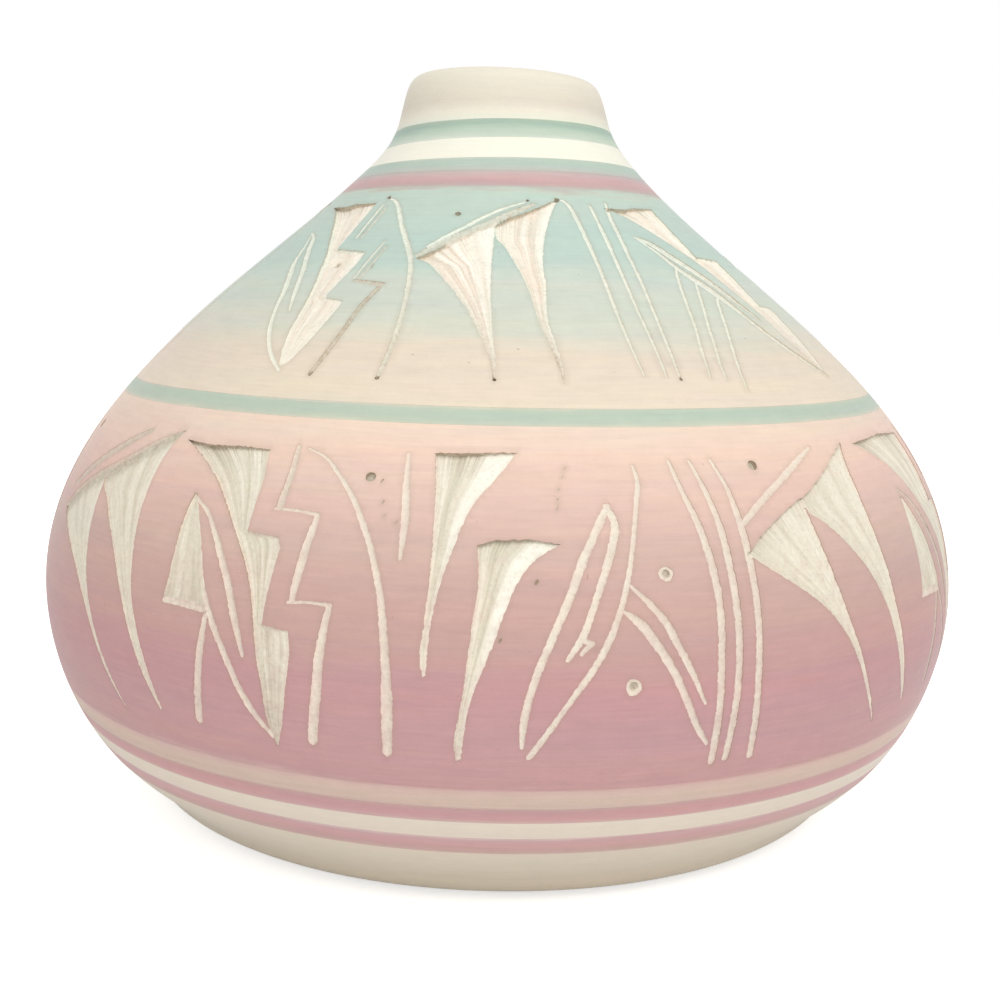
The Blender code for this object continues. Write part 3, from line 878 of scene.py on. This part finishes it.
def panel_points(figures, low, high, seam, columns, round_mm, slant):
    """Flat points and outlines for one panel in millimetres.

    The points are a grid, finer inside scraped figures, that keeps clear of the outlines.
    """
    rows = max(2, round((high - low) * slant / PANEL_STEP_MM))
    across, up = np.meshgrid(np.linspace(0, 360, columns + 1), np.linspace(low, high, rows + 1))
    across, up = across.ravel(), up.ravel()
    grid = np.stack((across * round_mm, up * slant), axis=1)
    rim = (across < RIM_SLACK) | (across > 360 - RIM_SLACK) | (up < low + RIM_SLACK) | (up > high - RIM_SLACK)
    keep = np.ones(len(grid), bool)
    extra, outlines = [], []
    for figure in figures:
        outline = flattened(figure["outline"], seam, round_mm, slant)
        keep &= far_from(grid, outline, PANEL_CLEARANCE_MM)
        outlines.append(outline)
        if figure["kind"] == "scored":
            extra.append(flattened(figure["line"][1:-1], seam, round_mm, slant))
        if figure["kind"] == "scraped":
            spans = [np.arange(outline[:, k].min(), outline[:, k].max(), SCRAPED_STEP_MM) for k in (0, 1)]
            fine = np.stack([side.ravel() for side in np.meshgrid(*spans)], axis=1)
            fine = fine[inside_outline(fine, outline)]
            extra.append(fine[far_from(fine, outline, SCRAPED_CLEARANCE_MM)])
            keep &= ~inside_outline(grid, outline)
    return np.vstack([grid[keep | rim], *extra]), outlines


def flat_sheet(figures, low, high, seam, columns, round_mm, slant):
    """Points and triangles of a flat sheet that follows every outline, and the flat outlines themselves."""
    points, outlines = panel_points(figures, low, high, seam, columns, round_mm, slant)
    flat, sides = [tuple(point) for point in points], []
    for outline in outlines:
        first, count = len(flat), len(outline)
        sides += [(first + number, first + (number + 1) % count) for number in range(count)]
        flat += [tuple(point) for point in outline]
    corners = ((0, low), (360, low), (360, high), (0, high))
    flat += [(turn * round_mm, level * slant) for turn, level in corners]
    made = delaunay_2d_cdt(flat, sides, [], 0, SHEET_MERGE_MM)
    return np.array([tuple(point) for point in made[0]]), np.array(made[2]), outlines


def cut_figures(figures, outlines, sheet, triangles, angles, heights, line_bareness):
    """Which triangles of a sheet are cut away, and the depth and marks of the floor below each point."""
    middles = sheet[triangles].mean(axis=1)
    cut_away = np.zeros(len(triangles), bool)
    depth = np.zeros(len(sheet))
    marks = np.zeros((len(FLOOR_MARKS), len(sheet)))
    for figure, outline in zip(figures, outlines):
        within = inside_outline(middles, outline)
        cut_away |= within
        chosen = np.unique(triangles[within])
        if len(chosen):
            sunk, left_marks = cut_floor(figure, angles[chosen], heights[chosen], line_bareness)
            deeper = sunk > depth[chosen]
            depth[chosen[deeper]] = sunk[deeper]
            marks[:, chosen[deeper]] = left_marks[:, deeper]
    return cut_away, depth, marks


def front_faces(triangles, cut_away, count):
    """Faces of slip, cut floors and the walls between, their finishes, and which points are beside a cut.

    The floors' points come after the sheet's own, in the same order.
    """
    faces, finishes, borders = [], [], {}
    beside_cut = np.zeros(count)
    for triangle, cut in zip(triangles.tolist(), cut_away):
        faces.append([corner + count for corner in triangle] if cut else triangle)
        finishes.append(1 if cut else 0)
        for start, end in zip(triangle, triangle[1:] + triangle[:1]):
            if cut:
                borders[start, end] = True
            else:
                borders.setdefault((start, end), False)
    for (start, end), cut in borders.items():
        if cut and borders.get((end, start)) is False:
            faces.append([end, start, start + count, end + count])
            finishes.append(1)
            beside_cut[[start, end]] = 1
    return faces, finishes, beside_cut


def rim_order(sheet, level, columns, round_mm):
    """Numbers of the points along one rim of the flat sheet, one for each column in turn."""
    on_rim = np.flatnonzero(np.abs(sheet[:, 1] - level) < ON_RIM_MM)
    wanted = np.linspace(0, 360, columns + 1) * round_mm
    return [int(on_rim[np.argmin(np.abs(sheet[on_rim, 0] - place))]) for place in wanted]


def back_faces(sheet, low_mm, high_mm, columns, round_mm, first_back):
    """Faces of a panel's back, and of the rims that join it to the edges of the sheet."""
    faces = []
    for row in range(BACK_ROWS - 1):
        upper, lower = first_back + row * columns, first_back + (row + 1) * columns
        for column in range(columns):
            after = (column + 1) % columns
            faces.append([upper + after, upper + column, lower + column, lower + after])
    top_rim = rim_order(sheet, high_mm, columns, round_mm)
    low_rim = rim_order(sheet, low_mm, columns, round_mm)
    last = first_back + (BACK_ROWS - 1) * columns
    for column in range(columns):
        after = (column + 1) % columns
        faces.append([top_rim[column], top_rim[column + 1], first_back + after, first_back + column])
        faces.append([low_rim[column + 1], low_rim[column], last + column, last + after])
    return faces


def etched_panel(name, figures, seam, line_bareness):
    """A coat with figures cut through it: a closed shell, drawn flat, cut, and wrapped round the vase.

    The cut edges follow the figures' outlines exactly, so the flat sheet is triangulated from them.
    """
    low, high = COAT_EDGES[name]
    low, high = low + COAT_GAP / MM, high - COAT_GAP / MM
    middle = (low + high) / 2
    round_mm, slant = float(size_of_degree(middle)), float(slant_at(middle))
    columns = round(360 * round_mm / PANEL_STEP_MM)
    for figure in figures:
        figure["outline"] = ragged(figure)
        whole_turns = math.floor((figure["outline"][:, 0].min() - seam) / 360)
        figure.update(moved(figure, -360 * whole_turns))
    sheet, triangles, outlines = flat_sheet(figures, low, high, seam, columns, round_mm, slant)
    angles = sheet[:, 0] / round_mm + seam
    heights = sheet[:, 1] / slant
    cut_away, depth, marks = cut_figures(figures, outlines, sheet, triangles, angles, heights, line_bareness)
    count = len(sheet)
    faces, finishes, beside_cut = front_faces(triangles, cut_away, count)
    behind = back_faces(sheet, low * slant, high * slant, columns, round_mm, 2 * count)

    back_angles = np.linspace(0, 360, columns + 1)[:-1] + seam
    wide, tall = np.meshgrid(back_angles, np.linspace(high, low, BACK_ROWS))
    all_angles = np.concatenate((angles, angles, wide.ravel()))
    all_heights = np.concatenate((heights, heights, tall.ravel()))
    all_depths = np.concatenate((np.full(count, -COAT_PROUD), depth * MM, np.full(wide.size, COAT_BODY)))
    radius, height = wall_at(all_heights * MM, all_depths)
    turn = np.radians(all_angles)
    points = np.stack((radius * np.sin(turn), -radius * np.cos(turn), height), axis=1)

    mesh = bpy.data.meshes.new(name + "_etched")
    mesh.from_pydata(points.tolist(), [], faces + behind)
    mesh.polygons.foreach_set("material_index", finishes + [0] * len(behind))
    for label, values in zip(FLOOR_MARKS, marks):
        on_slip = beside_cut if label == "grime" else np.zeros(count)
        full = np.concatenate((on_slip, values, np.zeros(wide.size)))
        mesh.attributes.new(label, "FLOAT", "POINT").data.foreach_set("value", full)
    mesh.attributes.new("wall_height", "FLOAT", "POINT").data.foreach_set("value", all_heights * MM)
    piece = bpy.data.objects.new(name + "_etched", mesh)
    bpy.context.scene.collection.objects.link(piece)
    pick(piece)
    bpy.ops.object.mode_set(mode="EDIT")
    bpy.ops.mesh.select_all(action="SELECT")
    bpy.ops.mesh.delete_loose()
    bpy.ops.mesh.select_all(action="SELECT")
    bpy.ops.mesh.remove_doubles(threshold=MERGE_DISTANCE)
    bpy.ops.object.mode_set(mode="OBJECT")
    return piece


# Finishes

def paint(red, green, blue):
    """A colour given as it looks on a screen, from 0 to 255, as the shader's linear values."""
    shares = [value / 255 for value in (red, green, blue)]
    return (*[s / 12.92 if s <= 0.04045 else ((s + 0.055) / 1.055) ** 2.4 for s in shares], 1.0)


class Finish:
    """A node material in the making, with one call to add and wire a node."""

    def __init__(self, name, roughness):
        self.material = bpy.data.materials.new(name)
        self.material.use_nodes = True
        self.nodes = self.material.node_tree.nodes
        self.links = self.material.node_tree.links
        self.shader = self.nodes["Principled BSDF"]
        self.shader.inputs["Roughness"].default_value = roughness
        self.shader.inputs["Specular IOR Level"].default_value = 0.25
        self.shader.inputs["Sheen Weight"].default_value = 0.3
        self.shader.inputs["Sheen Roughness"].default_value = 0.35

    def add(self, kind, sockets, **settings):
        """Adds a node, sets its options, and sets or links its sockets by number or name."""
        node = self.nodes.new(kind)
        for option, value in settings.items():
            setattr(node, option, value)
        for socket, value in sockets.items():
            if isinstance(value, bpy.types.NodeSocket):
                self.links.new(value, node.inputs[socket])
            else:
                node.inputs[socket].default_value = value
        return node

    def calc(self, operation, first, second, clamp=False):
        """One step of arithmetic."""
        sockets = {0: first, 1: second}
        return self.add("ShaderNodeMath", sockets, operation=operation, use_clamp=clamp).outputs[0]

    def attribute(self, name):
        """A value that the mesh keeps at its points."""
        return self.add("ShaderNodeAttribute", {}, attribute_name=name).outputs["Fac"]

    def ramp(self, factor, stops):
        """Blends through colours set at places from 0 to 1."""
        node = self.add("ShaderNodeValToRGB", {"Fac": factor})
        band = node.color_ramp
        while len(band.elements) < len(stops):
            band.elements.new(1.0)
        for element, (place, colour) in zip(band.elements, stops):
            element.position = place
            element.color = colour
        return node.outputs["Color"]

    def mix(self, factor, first, second, blend="MIX"):
        """Blends two colours."""
        node = self.add("ShaderNodeMix", {0: factor, 6: first, 7: second}, data_type="RGBA", blend_type=blend)
        return node.outputs[2]

    def noise(self, vector, detail=4.0, roughness=0.6):
        """Cloudy noise about a middle of 0.5."""
        sockets = {"Vector": vector, "Scale": 1.0, "Detail": detail, "Roughness": roughness}
        return self.add("ShaderNodeTexNoise", sockets).outputs["Fac"]

    def stretched(self, across, up):
        """Scaled object coordinates: a pattern runs in level streaks where the scale is larger upwards."""
        place = self.add("ShaderNodeTexCoord", {}).outputs["Object"]
        sockets = {"Vector": place, "Scale": (across, across, up)}
        return self.add("ShaderNodeMapping", sockets).outputs["Vector"]

    def span(self, value, low, high, to_low=0.0, to_high=1.0):
        """Carries a value over from one range to another, held at its ends."""
        sockets = {0: value, 1: low, 2: high, 3: to_low, 4: to_high}
        return self.add("ShaderNodeMapRange", sockets, clamp=True).outputs[0]


def worked_surface(finish, colour, streaks, grain, chipped):
    """Adds level streaks, mottles and a grainy bump to a colour, and where chipped, specks and darker slip
    beside the cuts, which is dust and painted shade of the burrs.
    """
    fine = finish.noise(finish.stretched(110, 2100), 3.0)
    middling = finish.noise(finish.stretched(22, 460), 4.0)
    broad = finish.noise(finish.stretched(9, 120), 3.0)
    mottle = finish.noise(finish.stretched(260, 420), 4.0, 0.7)
    both = finish.calc("ADD", finish.calc("MULTIPLY", fine, 0.55), finish.calc("MULTIPLY", middling, 0.45))
    cloudy = finish.span(mottle, 0.3, 0.7, 1 - streaks * 0.5, 1 + streaks * 0.5)
    tone = finish.calc("MULTIPLY", finish.span(both, 0.3, 0.7, 1 - streaks, 1 + streaks), cloudy)
    warm = finish.span(broad, 0.3, 0.7, 1 - streaks * 0.7, 1 + streaks * 0.7)
    cool = finish.span(middling, 0.3, 0.7, 1 + streaks * 0.6, 1 - streaks * 0.6)
    cast = finish.add("ShaderNodeCombineColor", {
        0: finish.calc("MULTIPLY", tone, warm), 1: tone, 2: finish.calc("MULTIPLY", tone, cool)}).outputs[0]
    colour = finish.mix(1.0, colour, cast, "MULTIPLY")
    sand = finish.noise(finish.stretched(1500, 1500), 2.0)
    if chipped:
        # Slip beside each cut is darkened: dust and painted shade of the raised burr
        burr_shade_and_dust = finish.calc("MULTIPLY", finish.attribute("grime"), 0.15)
        colour = finish.mix(burr_shade_and_dust, colour, paint(*BURR_SHADE_AND_DUST))
        spots = finish.noise(finish.stretched(900, 900), 1.0, 0.4)
        colour = finish.mix(finish.span(spots, 0.80, 0.84, 0.0, 0.35), colour, paint(*SPOT_SHADE))
        flecks = finish.noise(finish.stretched(420, 230), 2.0, 0.4)
        colour = finish.mix(finish.span(flecks, 0.79, 0.82, 0.0, 0.35), colour, paint(*FLECK_SHADE))
    height = finish.calc("ADD", fine, finish.calc("MULTIPLY", sand, 0.9))
    bump = finish.add("ShaderNodeBump", {"Strength": grain, "Distance": 0.0001, "Height": height})
    finish.links.new(bump.outputs["Normal"], finish.shader.inputs["Normal"])
    finish.links.new(colour, finish.shader.inputs["Base Color"])


def faded_colour(finish, stops, blur_mm):
    """Colour that changes up the wall, from stops of height in millimetres, blurred by the brush."""
    low, high = stops[0][0], stops[-1][0]
    broad = finish.noise(finish.stretched(16, 130), 4.0)
    brush = finish.calc("ADD", broad, finish.noise(finish.stretched(60, 700), 3.0))
    drift = finish.span(brush, 0.7, 1.3, -blur_mm * MM, blur_mm * MM)
    height = finish.calc("ADD", finish.attribute("wall_height"), drift)
    share = finish.span(height, low * MM, high * MM)
    return finish.ramp(share, [((mm - low) / (high - low), paint(*colour)) for mm, colour in stops])


def brushed_finish(name, stops, blur_mm=0.2, streaks=0.05, grain=0.5, roughness=0.82, chipped=False):
    """Slip or clay whose colour changes up the wall, with the marks of the brush or the turning tool."""
    finish = Finish(name, roughness)
    worked_surface(finish, faded_colour(finish, stops, blur_mm), streaks, grain, chipped)
    return finish.material


def band_finish(name, shades):
    """A narrow band of slip, in shades from its lower to its upper edge, which blend into its neighbours."""
    low, high = COAT_EDGES[name]
    stops = [(low + (high - low) * share, colour) for share, colour in shades]
    return brushed_finish(name + "_finish", stops, BAND_BLUR_MM)


def etched_finish(name, stops, clay_shades, line_shades, darkening):
    """Clay laid bare by the tool: streaks along its strokes, traces of slip, pale lips, painted shade and
    highlight, and dust.
    """
    finish = Finish(name, 0.88)
    slip = faded_colour(finish, stops, FADE_BLUR_MM)
    place = finish.add("ShaderNodeSeparateXYZ", {0: finish.stretched(9, 45)}).outputs
    strokes, lip = finish.attribute("strokes"), finish.attribute("lip")

    def along_strokes(pace, detail):
        """Noise drawn out along the tool strokes, in finer streaks at a higher pace."""
        across = finish.calc("ADD", finish.calc("MULTIPLY", strokes, pace), place[0])
        return finish.noise(
            finish.add("ShaderNodeCombineXYZ", {0: across, 1: place[1], 2: place[2]}).outputs[0], detail)

    even = finish.calc("SUBTRACT", 1.0, finish.attribute("streak"))
    broad = finish.add("ShaderNodeMix", {0: even, 2: along_strokes(0.7, 2.0), 3: 0.53}).outputs[0]
    clay = finish.ramp(broad, [
        (share, paint(*shade)) for share, shade in zip((0.36, 0.46, 0.54, 0.66), clay_shades)])
    # Thin dark lines along the strokes: tool marks and painted shade of the flutes
    ridge = finish.calc("ABSOLUTE", finish.calc("SUBTRACT", along_strokes(1.7, 2.0), 0.5), 0.0)
    ridges = finish.calc("MULTIPLY", finish.span(ridge, 0.0, 0.03, 0.28, 0.0), finish.attribute("streak"))
    clay = finish.mix(ridges, clay, paint(*RIDGE_MARK_AND_SHADE))
    fine = finish.span(along_strokes(4.5, 1.0), 0.52, 0.62)
    hatching = finish.calc("MULTIPLY", fine, finish.attribute("hatch"))
    clay = finish.mix(finish.calc("MULTIPLY", hatching, 0.42), clay, paint(*HATCH_SHADE))
    line = finish.mix(lip, *[paint(*shade) for shade in line_shades])
    scored_line = finish.calc("LESS_THAN", strokes, -0.5)
    clay = finish.mix(finish.calc("MAXIMUM", scored_line, finish.calc("MULTIPLY", lip, 0.85)), clay, line)
    # Painted highlight along the lit right side of scraped floors
    clay = finish.mix(finish.calc("MULTIPLY", finish.attribute("pale"), 0.8), clay, paint(*PAINTED_HIGHLIGHT_CLAY))
    grit = finish.noise(finish.stretched(1700, 1400), 3.0, 0.7)
    clay = finish.mix(finish.span(grit, 0.5, 0.72, 0.0, 0.24), clay, paint(*GRIT_SHADE))
    patches = finish.span(finish.noise(finish.stretched(600, 420), 3.0), 0.35, 0.65, -0.13, 0.13)
    rimmed = finish.calc("SUBTRACT", finish.attribute("bare"), finish.calc("MULTIPLY", lip, 0.12))
    colour = finish.mix(finish.calc("ADD", rimmed, patches, True), slip, clay)
    # Painted shade and grime, mixed towards one darker colour
    darkened_share = finish.calc("MULTIPLY", finish.attribute("grime"), finish.span(grit, 0.3, 0.6, 0.5, 1.0))
    colour = finish.mix(finish.calc("MULTIPLY", darkened_share, 0.8), colour, paint(*darkening))
    worked_surface(finish, colour, 0.03, 0.9, False)
    return finish.material


# Colours up the wall, by height in millimetres, and shades of the bare clay, its lines, marks, dust, painted
# shade and highlight
BARE_CLAY = [
    # The lowest stops darken towards the foot: painted shade of the down-facing foot
    (0, (200, 189, 168)),
    (5, (212, 200, 180)),
    (12, (220, 208, 190)),
    (15, (222, 210, 193)),
    (17, (226, 214, 198)),
    (22, (228, 217, 201)),
    (123, (241, 239, 223)),
    (128, (241, 239, 223)),
    (131.5, (226, 228, 211)),
    (133, (230, 224, 207)),
    (135, (219, 210, 194)),
    (138, (225, 217, 200)),
    (142, (234, 227, 210)),
]
UPPER_FADE = [
    (82, (229, 213, 193)),
    (90, (225, 211, 192)),
    (94, (214, 212, 196)),
    (97, (206, 211, 196)),
    (101.5, (202, 211, 198)),
    (104.5, (190, 207, 196)),
    (117.2, (191, 207, 195)),
    (118, (196, 203, 190)),
    (118.6, (192, 188, 179)),
]
LOWER_FADE = [
    (26, (203, 169, 162)),
    (27.4, (194, 154, 152)),
    (32, (196, 154, 154)),
    (38, (193, 151, 152)),
    (43, (193, 150, 150)),
    (47, (194, 156, 151)),
    (52, (196, 161, 153)),
    (57, (199, 166, 157)),
    (63, (209, 177, 165)),
    (70, (224, 191, 177)),
    (75, (231, 201, 184)),
    (79.5, (234, 211, 192)),
]
UPPER_CLAY = ((234, 219, 200), (247, 234, 216), (252, 243, 227), (255, 251, 238))
LOWER_CLAY = ((202, 195, 172), (223, 215, 194), (232, 224, 205), (246, 240, 224))
UPPER_LINE = ((242, 244, 228), (249, 249, 234))
LOWER_LINE = ((233, 225, 207), (249, 234, 218))
# Colour of the painted highlight on scraped floors
PAINTED_HIGHLIGHT_CLAY = (254, 250, 236)
# Dust and painted shade beside the cuts, then dark specks and flecks
BURR_SHADE_AND_DUST = (146, 130, 104)
SPOT_SHADE = (140, 118, 104)
FLECK_SHADE = (140, 114, 100)
RIDGE_MARK_AND_SHADE = (158, 148, 118)
HATCH_SHADE = (138, 128, 98)
GRIT_SHADE = (164, 154, 126)
# Colours of painted shade and dust on the cut floors
UPPER_SHADE_AND_DUST = (168, 142, 112)
LOWER_SHADE_AND_DUST = (134, 116, 90)

# Shades of each plain band from its lower edge, 0, to its upper edge, 1
BAND_SHADES = {
    "neck_teal_band": [
        (0, (209, 216, 201)), (0.12, (198, 209, 193)), (0.45, (184, 201, 183)), (0.72, (163, 185, 170)),
        (0.92, (168, 186, 168)), (1, (194, 206, 188))],
    "shoulder_teal_band": [
        (0, (190, 184, 176)), (0.2, (188, 193, 183)), (0.6, (179, 197, 184)), (0.9, (182, 197, 184)),
        (1, (194, 204, 190))],
    "shoulder_mauve_band": [
        (0, (192, 180, 172)), (0.15, (195, 168, 164)), (0.4, (201, 166, 164)), (0.6, (204, 170, 168)),
        (0.85, (201, 177, 175)), (1, (192, 181, 175))],
    "girdle_teal_band": [
        (0, (210, 206, 188)), (0.1, (196, 201, 182)), (0.3, (186, 197, 181)), (0.7, (184, 197, 180)),
        (0.9, (189, 198, 181)), (1, (206, 205, 187))],
    "tan_stripe": [
        (0, (201, 171, 163)), (0.12, (210, 186, 172)), (0.3, (208, 184, 169)), (0.6, (211, 187, 173)),
        (0.9, (211, 181, 172)), (1, (202, 168, 162))],
    "upper_mauve_stripe": [
        (0, (208, 176, 171)), (0.2, (204, 161, 161)), (0.55, (203, 156, 157)), (0.85, (198, 158, 156)),
        (1, (200, 166, 160))],
    "lower_mauve_stripe": [
        (0, (211, 187, 179)), (0.12, (200, 169, 163)), (0.3, (200, 163, 159)), (0.6, (207, 164, 164)),
        (0.88, (204, 168, 168)), (1, (214, 188, 184))],
}

BAND_BLUR_MM = 0.3
FADE_BLUR_MM = 1.6
FADE_STREAKS = 0.055

bare_clay = brushed_finish("bare_clay_finish", BARE_CLAY, streaks=0.03, grain=0.6, roughness=0.86)
upper_slip = brushed_finish("upper_slip_finish", UPPER_FADE, FADE_BLUR_MM, FADE_STREAKS, chipped=True)
lower_slip = brushed_finish("lower_slip_finish", LOWER_FADE, FADE_BLUR_MM, FADE_STREAKS, chipped=True)
upper_etched = etched_finish("upper_etched_finish", UPPER_FADE, UPPER_CLAY, UPPER_LINE, UPPER_SHADE_AND_DUST)
lower_etched = etched_finish("lower_etched_finish", LOWER_FADE, LOWER_CLAY, LOWER_LINE, LOWER_SHADE_AND_DUST)

# Pieces

clay = turned("clay_body", clay_profile())
clay.data.materials.append(bare_clay)
settle(clay, "clay_vessel")

PLAIN_COATS = {
    "neck_teal_band": "teal_slip",
    "shoulder_teal_band": "teal_slip",
    "shoulder_mauve_band": "mauve_slip",
    "girdle_teal_band": "teal_slip",
    "tan_stripe": "tan_slip",
    "upper_mauve_stripe": "mauve_slip",
    "lower_mauve_stripe": "mauve_slip",
}
for coat_name, coat_slot in PLAIN_COATS.items():
    coat = turned(coat_name + "_brushed", coat_profile(coat_name))
    coat.data.materials.append(band_finish(coat_name, BAND_SHADES[coat_name]))
    settle(coat, coat_name)

LOWER_SEAM_DEG = -190.6
LOWER_LINE_BARENESS = 0.78
lower_panel = etched_panel("lower_panel_coat", lower_row(), LOWER_SEAM_DEG, LOWER_LINE_BARENESS)
lower_panel.data.materials.append(lower_slip)
lower_panel.data.materials.append(lower_etched)
settle(lower_panel, "lower_panel_coat")

UPPER_SEAM_DEG = -158.0
UPPER_LINE_BARENESS = 0.82
upper_panel = etched_panel("upper_panel_coat", upper_row(), UPPER_SEAM_DEG, UPPER_LINE_BARENESS)
upper_panel.data.materials.append(upper_slip)
upper_panel.data.materials.append(upper_etched)
settle(upper_panel, "upper_panel_coat")

# Floor, light and camera

# The floor glows for the camera, least under the vase, so that it looks as white as the surroundings
GLOW_FROM = 0.06
GLOW_FULL_AT = 0.3
GLOW_LEAST = 0.6
FLOOR_SIZE = 6
bpy.ops.object.select_all(action="DESELECT")
bpy.ops.mesh.primitive_plane_add(size=FLOOR_SIZE)
floor = bpy.context.active_object
floor.name = "studio_floor"
floor_finish = Finish("studio_floor_finish", 0.9)
floor_finish.shader.inputs["Base Color"].default_value = (0.93, 0.93, 0.93, 1)
floor_place = floor_finish.add("ShaderNodeTexCoord", {}).outputs["Object"]
distance = floor_finish.add("ShaderNodeVectorMath", {0: floor_place}, operation="LENGTH").outputs["Value"]
seen = floor_finish.add("ShaderNodeLightPath", {}).outputs["Is Camera Ray"]
whiteness = floor_finish.span(distance, GLOW_FROM, GLOW_FULL_AT, GLOW_LEAST, 1.0)
glow = floor_finish.calc("MULTIPLY", whiteness, seen)
floor_finish.shader.inputs["Emission Color"].default_value = (1, 1, 1, 1)
floor_finish.links.new(glow, floor_finish.shader.inputs["Emission Strength"])
floor.data.materials.append(floor_finish.material)

# The surroundings look pure white, and light the vase a little less than that
SKY_LIGHT = 0.70
world = bpy.data.worlds.new("studio_world")
bpy.context.scene.world = world
world.use_nodes = True
sky = world.node_tree.nodes["Background"]
sky.inputs["Color"].default_value = (1, 1, 1, 1)
rays = world.node_tree.nodes.new("ShaderNodeLightPath")
strength = world.node_tree.nodes.new("ShaderNodeMapRange")
strength.inputs["To Min"].default_value = SKY_LIGHT
strength.inputs["To Max"].default_value = 1.0
shown = rays.outputs["Is Camera Ray"]
for kind in ("Is Glossy Ray", "Is Transmission Ray"):
    either = world.node_tree.nodes.new("ShaderNodeMath")
    either.operation = "MAXIMUM"
    world.node_tree.links.new(shown, either.inputs[0])
    world.node_tree.links.new(rays.outputs[kind], either.inputs[1])
    shown = either.outputs[0]
world.node_tree.links.new(shown, strength.inputs["Value"])
world.node_tree.links.new(strength.outputs["Result"], sky.inputs["Strength"])


def softbox(name, place, aim, size, watts):
    """A square lamp at a place, turned to an aim."""
    bpy.ops.object.light_add(type="AREA", location=place)
    lamp = bpy.context.active_object
    lamp.name = name
    lamp.data.size = size
    lamp.data.energy = watts
    way = np.array(aim) - np.array(place)
    lamp.rotation_euler = (math.atan2(math.hypot(way[0], way[1]), -way[2]), 0, math.atan2(-way[0], way[1]))


BELLY_CENTRE = (0, 0, 0.06)
softbox("key_light", (0.38, -0.77, 1.0), BELLY_CENTRE, size=0.6, watts=4.8)
softbox("front_fill", (-0.1, -1.0, 0.3), BELLY_CENTRE, size=0.8, watts=1.85)

CAMERA_PLACE = (0.0004, -0.279, 0.0995)
CAMERA_DOWN_DEG = 8.66
CAMERA_ROLL_DEG = 1.33
CAMERA_LENS_MM = 48.72
CAMERA_SENSOR_MM = 36
bpy.ops.object.camera_add(location=CAMERA_PLACE)
camera = bpy.context.active_object
level_view = Matrix.Rotation(math.radians(90 - CAMERA_DOWN_DEG), 3, "X")
camera.rotation_euler = (level_view @ Matrix.Rotation(math.radians(CAMERA_ROLL_DEG), 3, "Z")).to_euler()
camera.data.sensor_width = CAMERA_SENSOR_MM
camera.data.lens = CAMERA_LENS_MM
camera.data.clip_start = 0.01
bpy.context.scene.camera = camera
bpy.context.scene.view_settings.view_transform = "Standard"
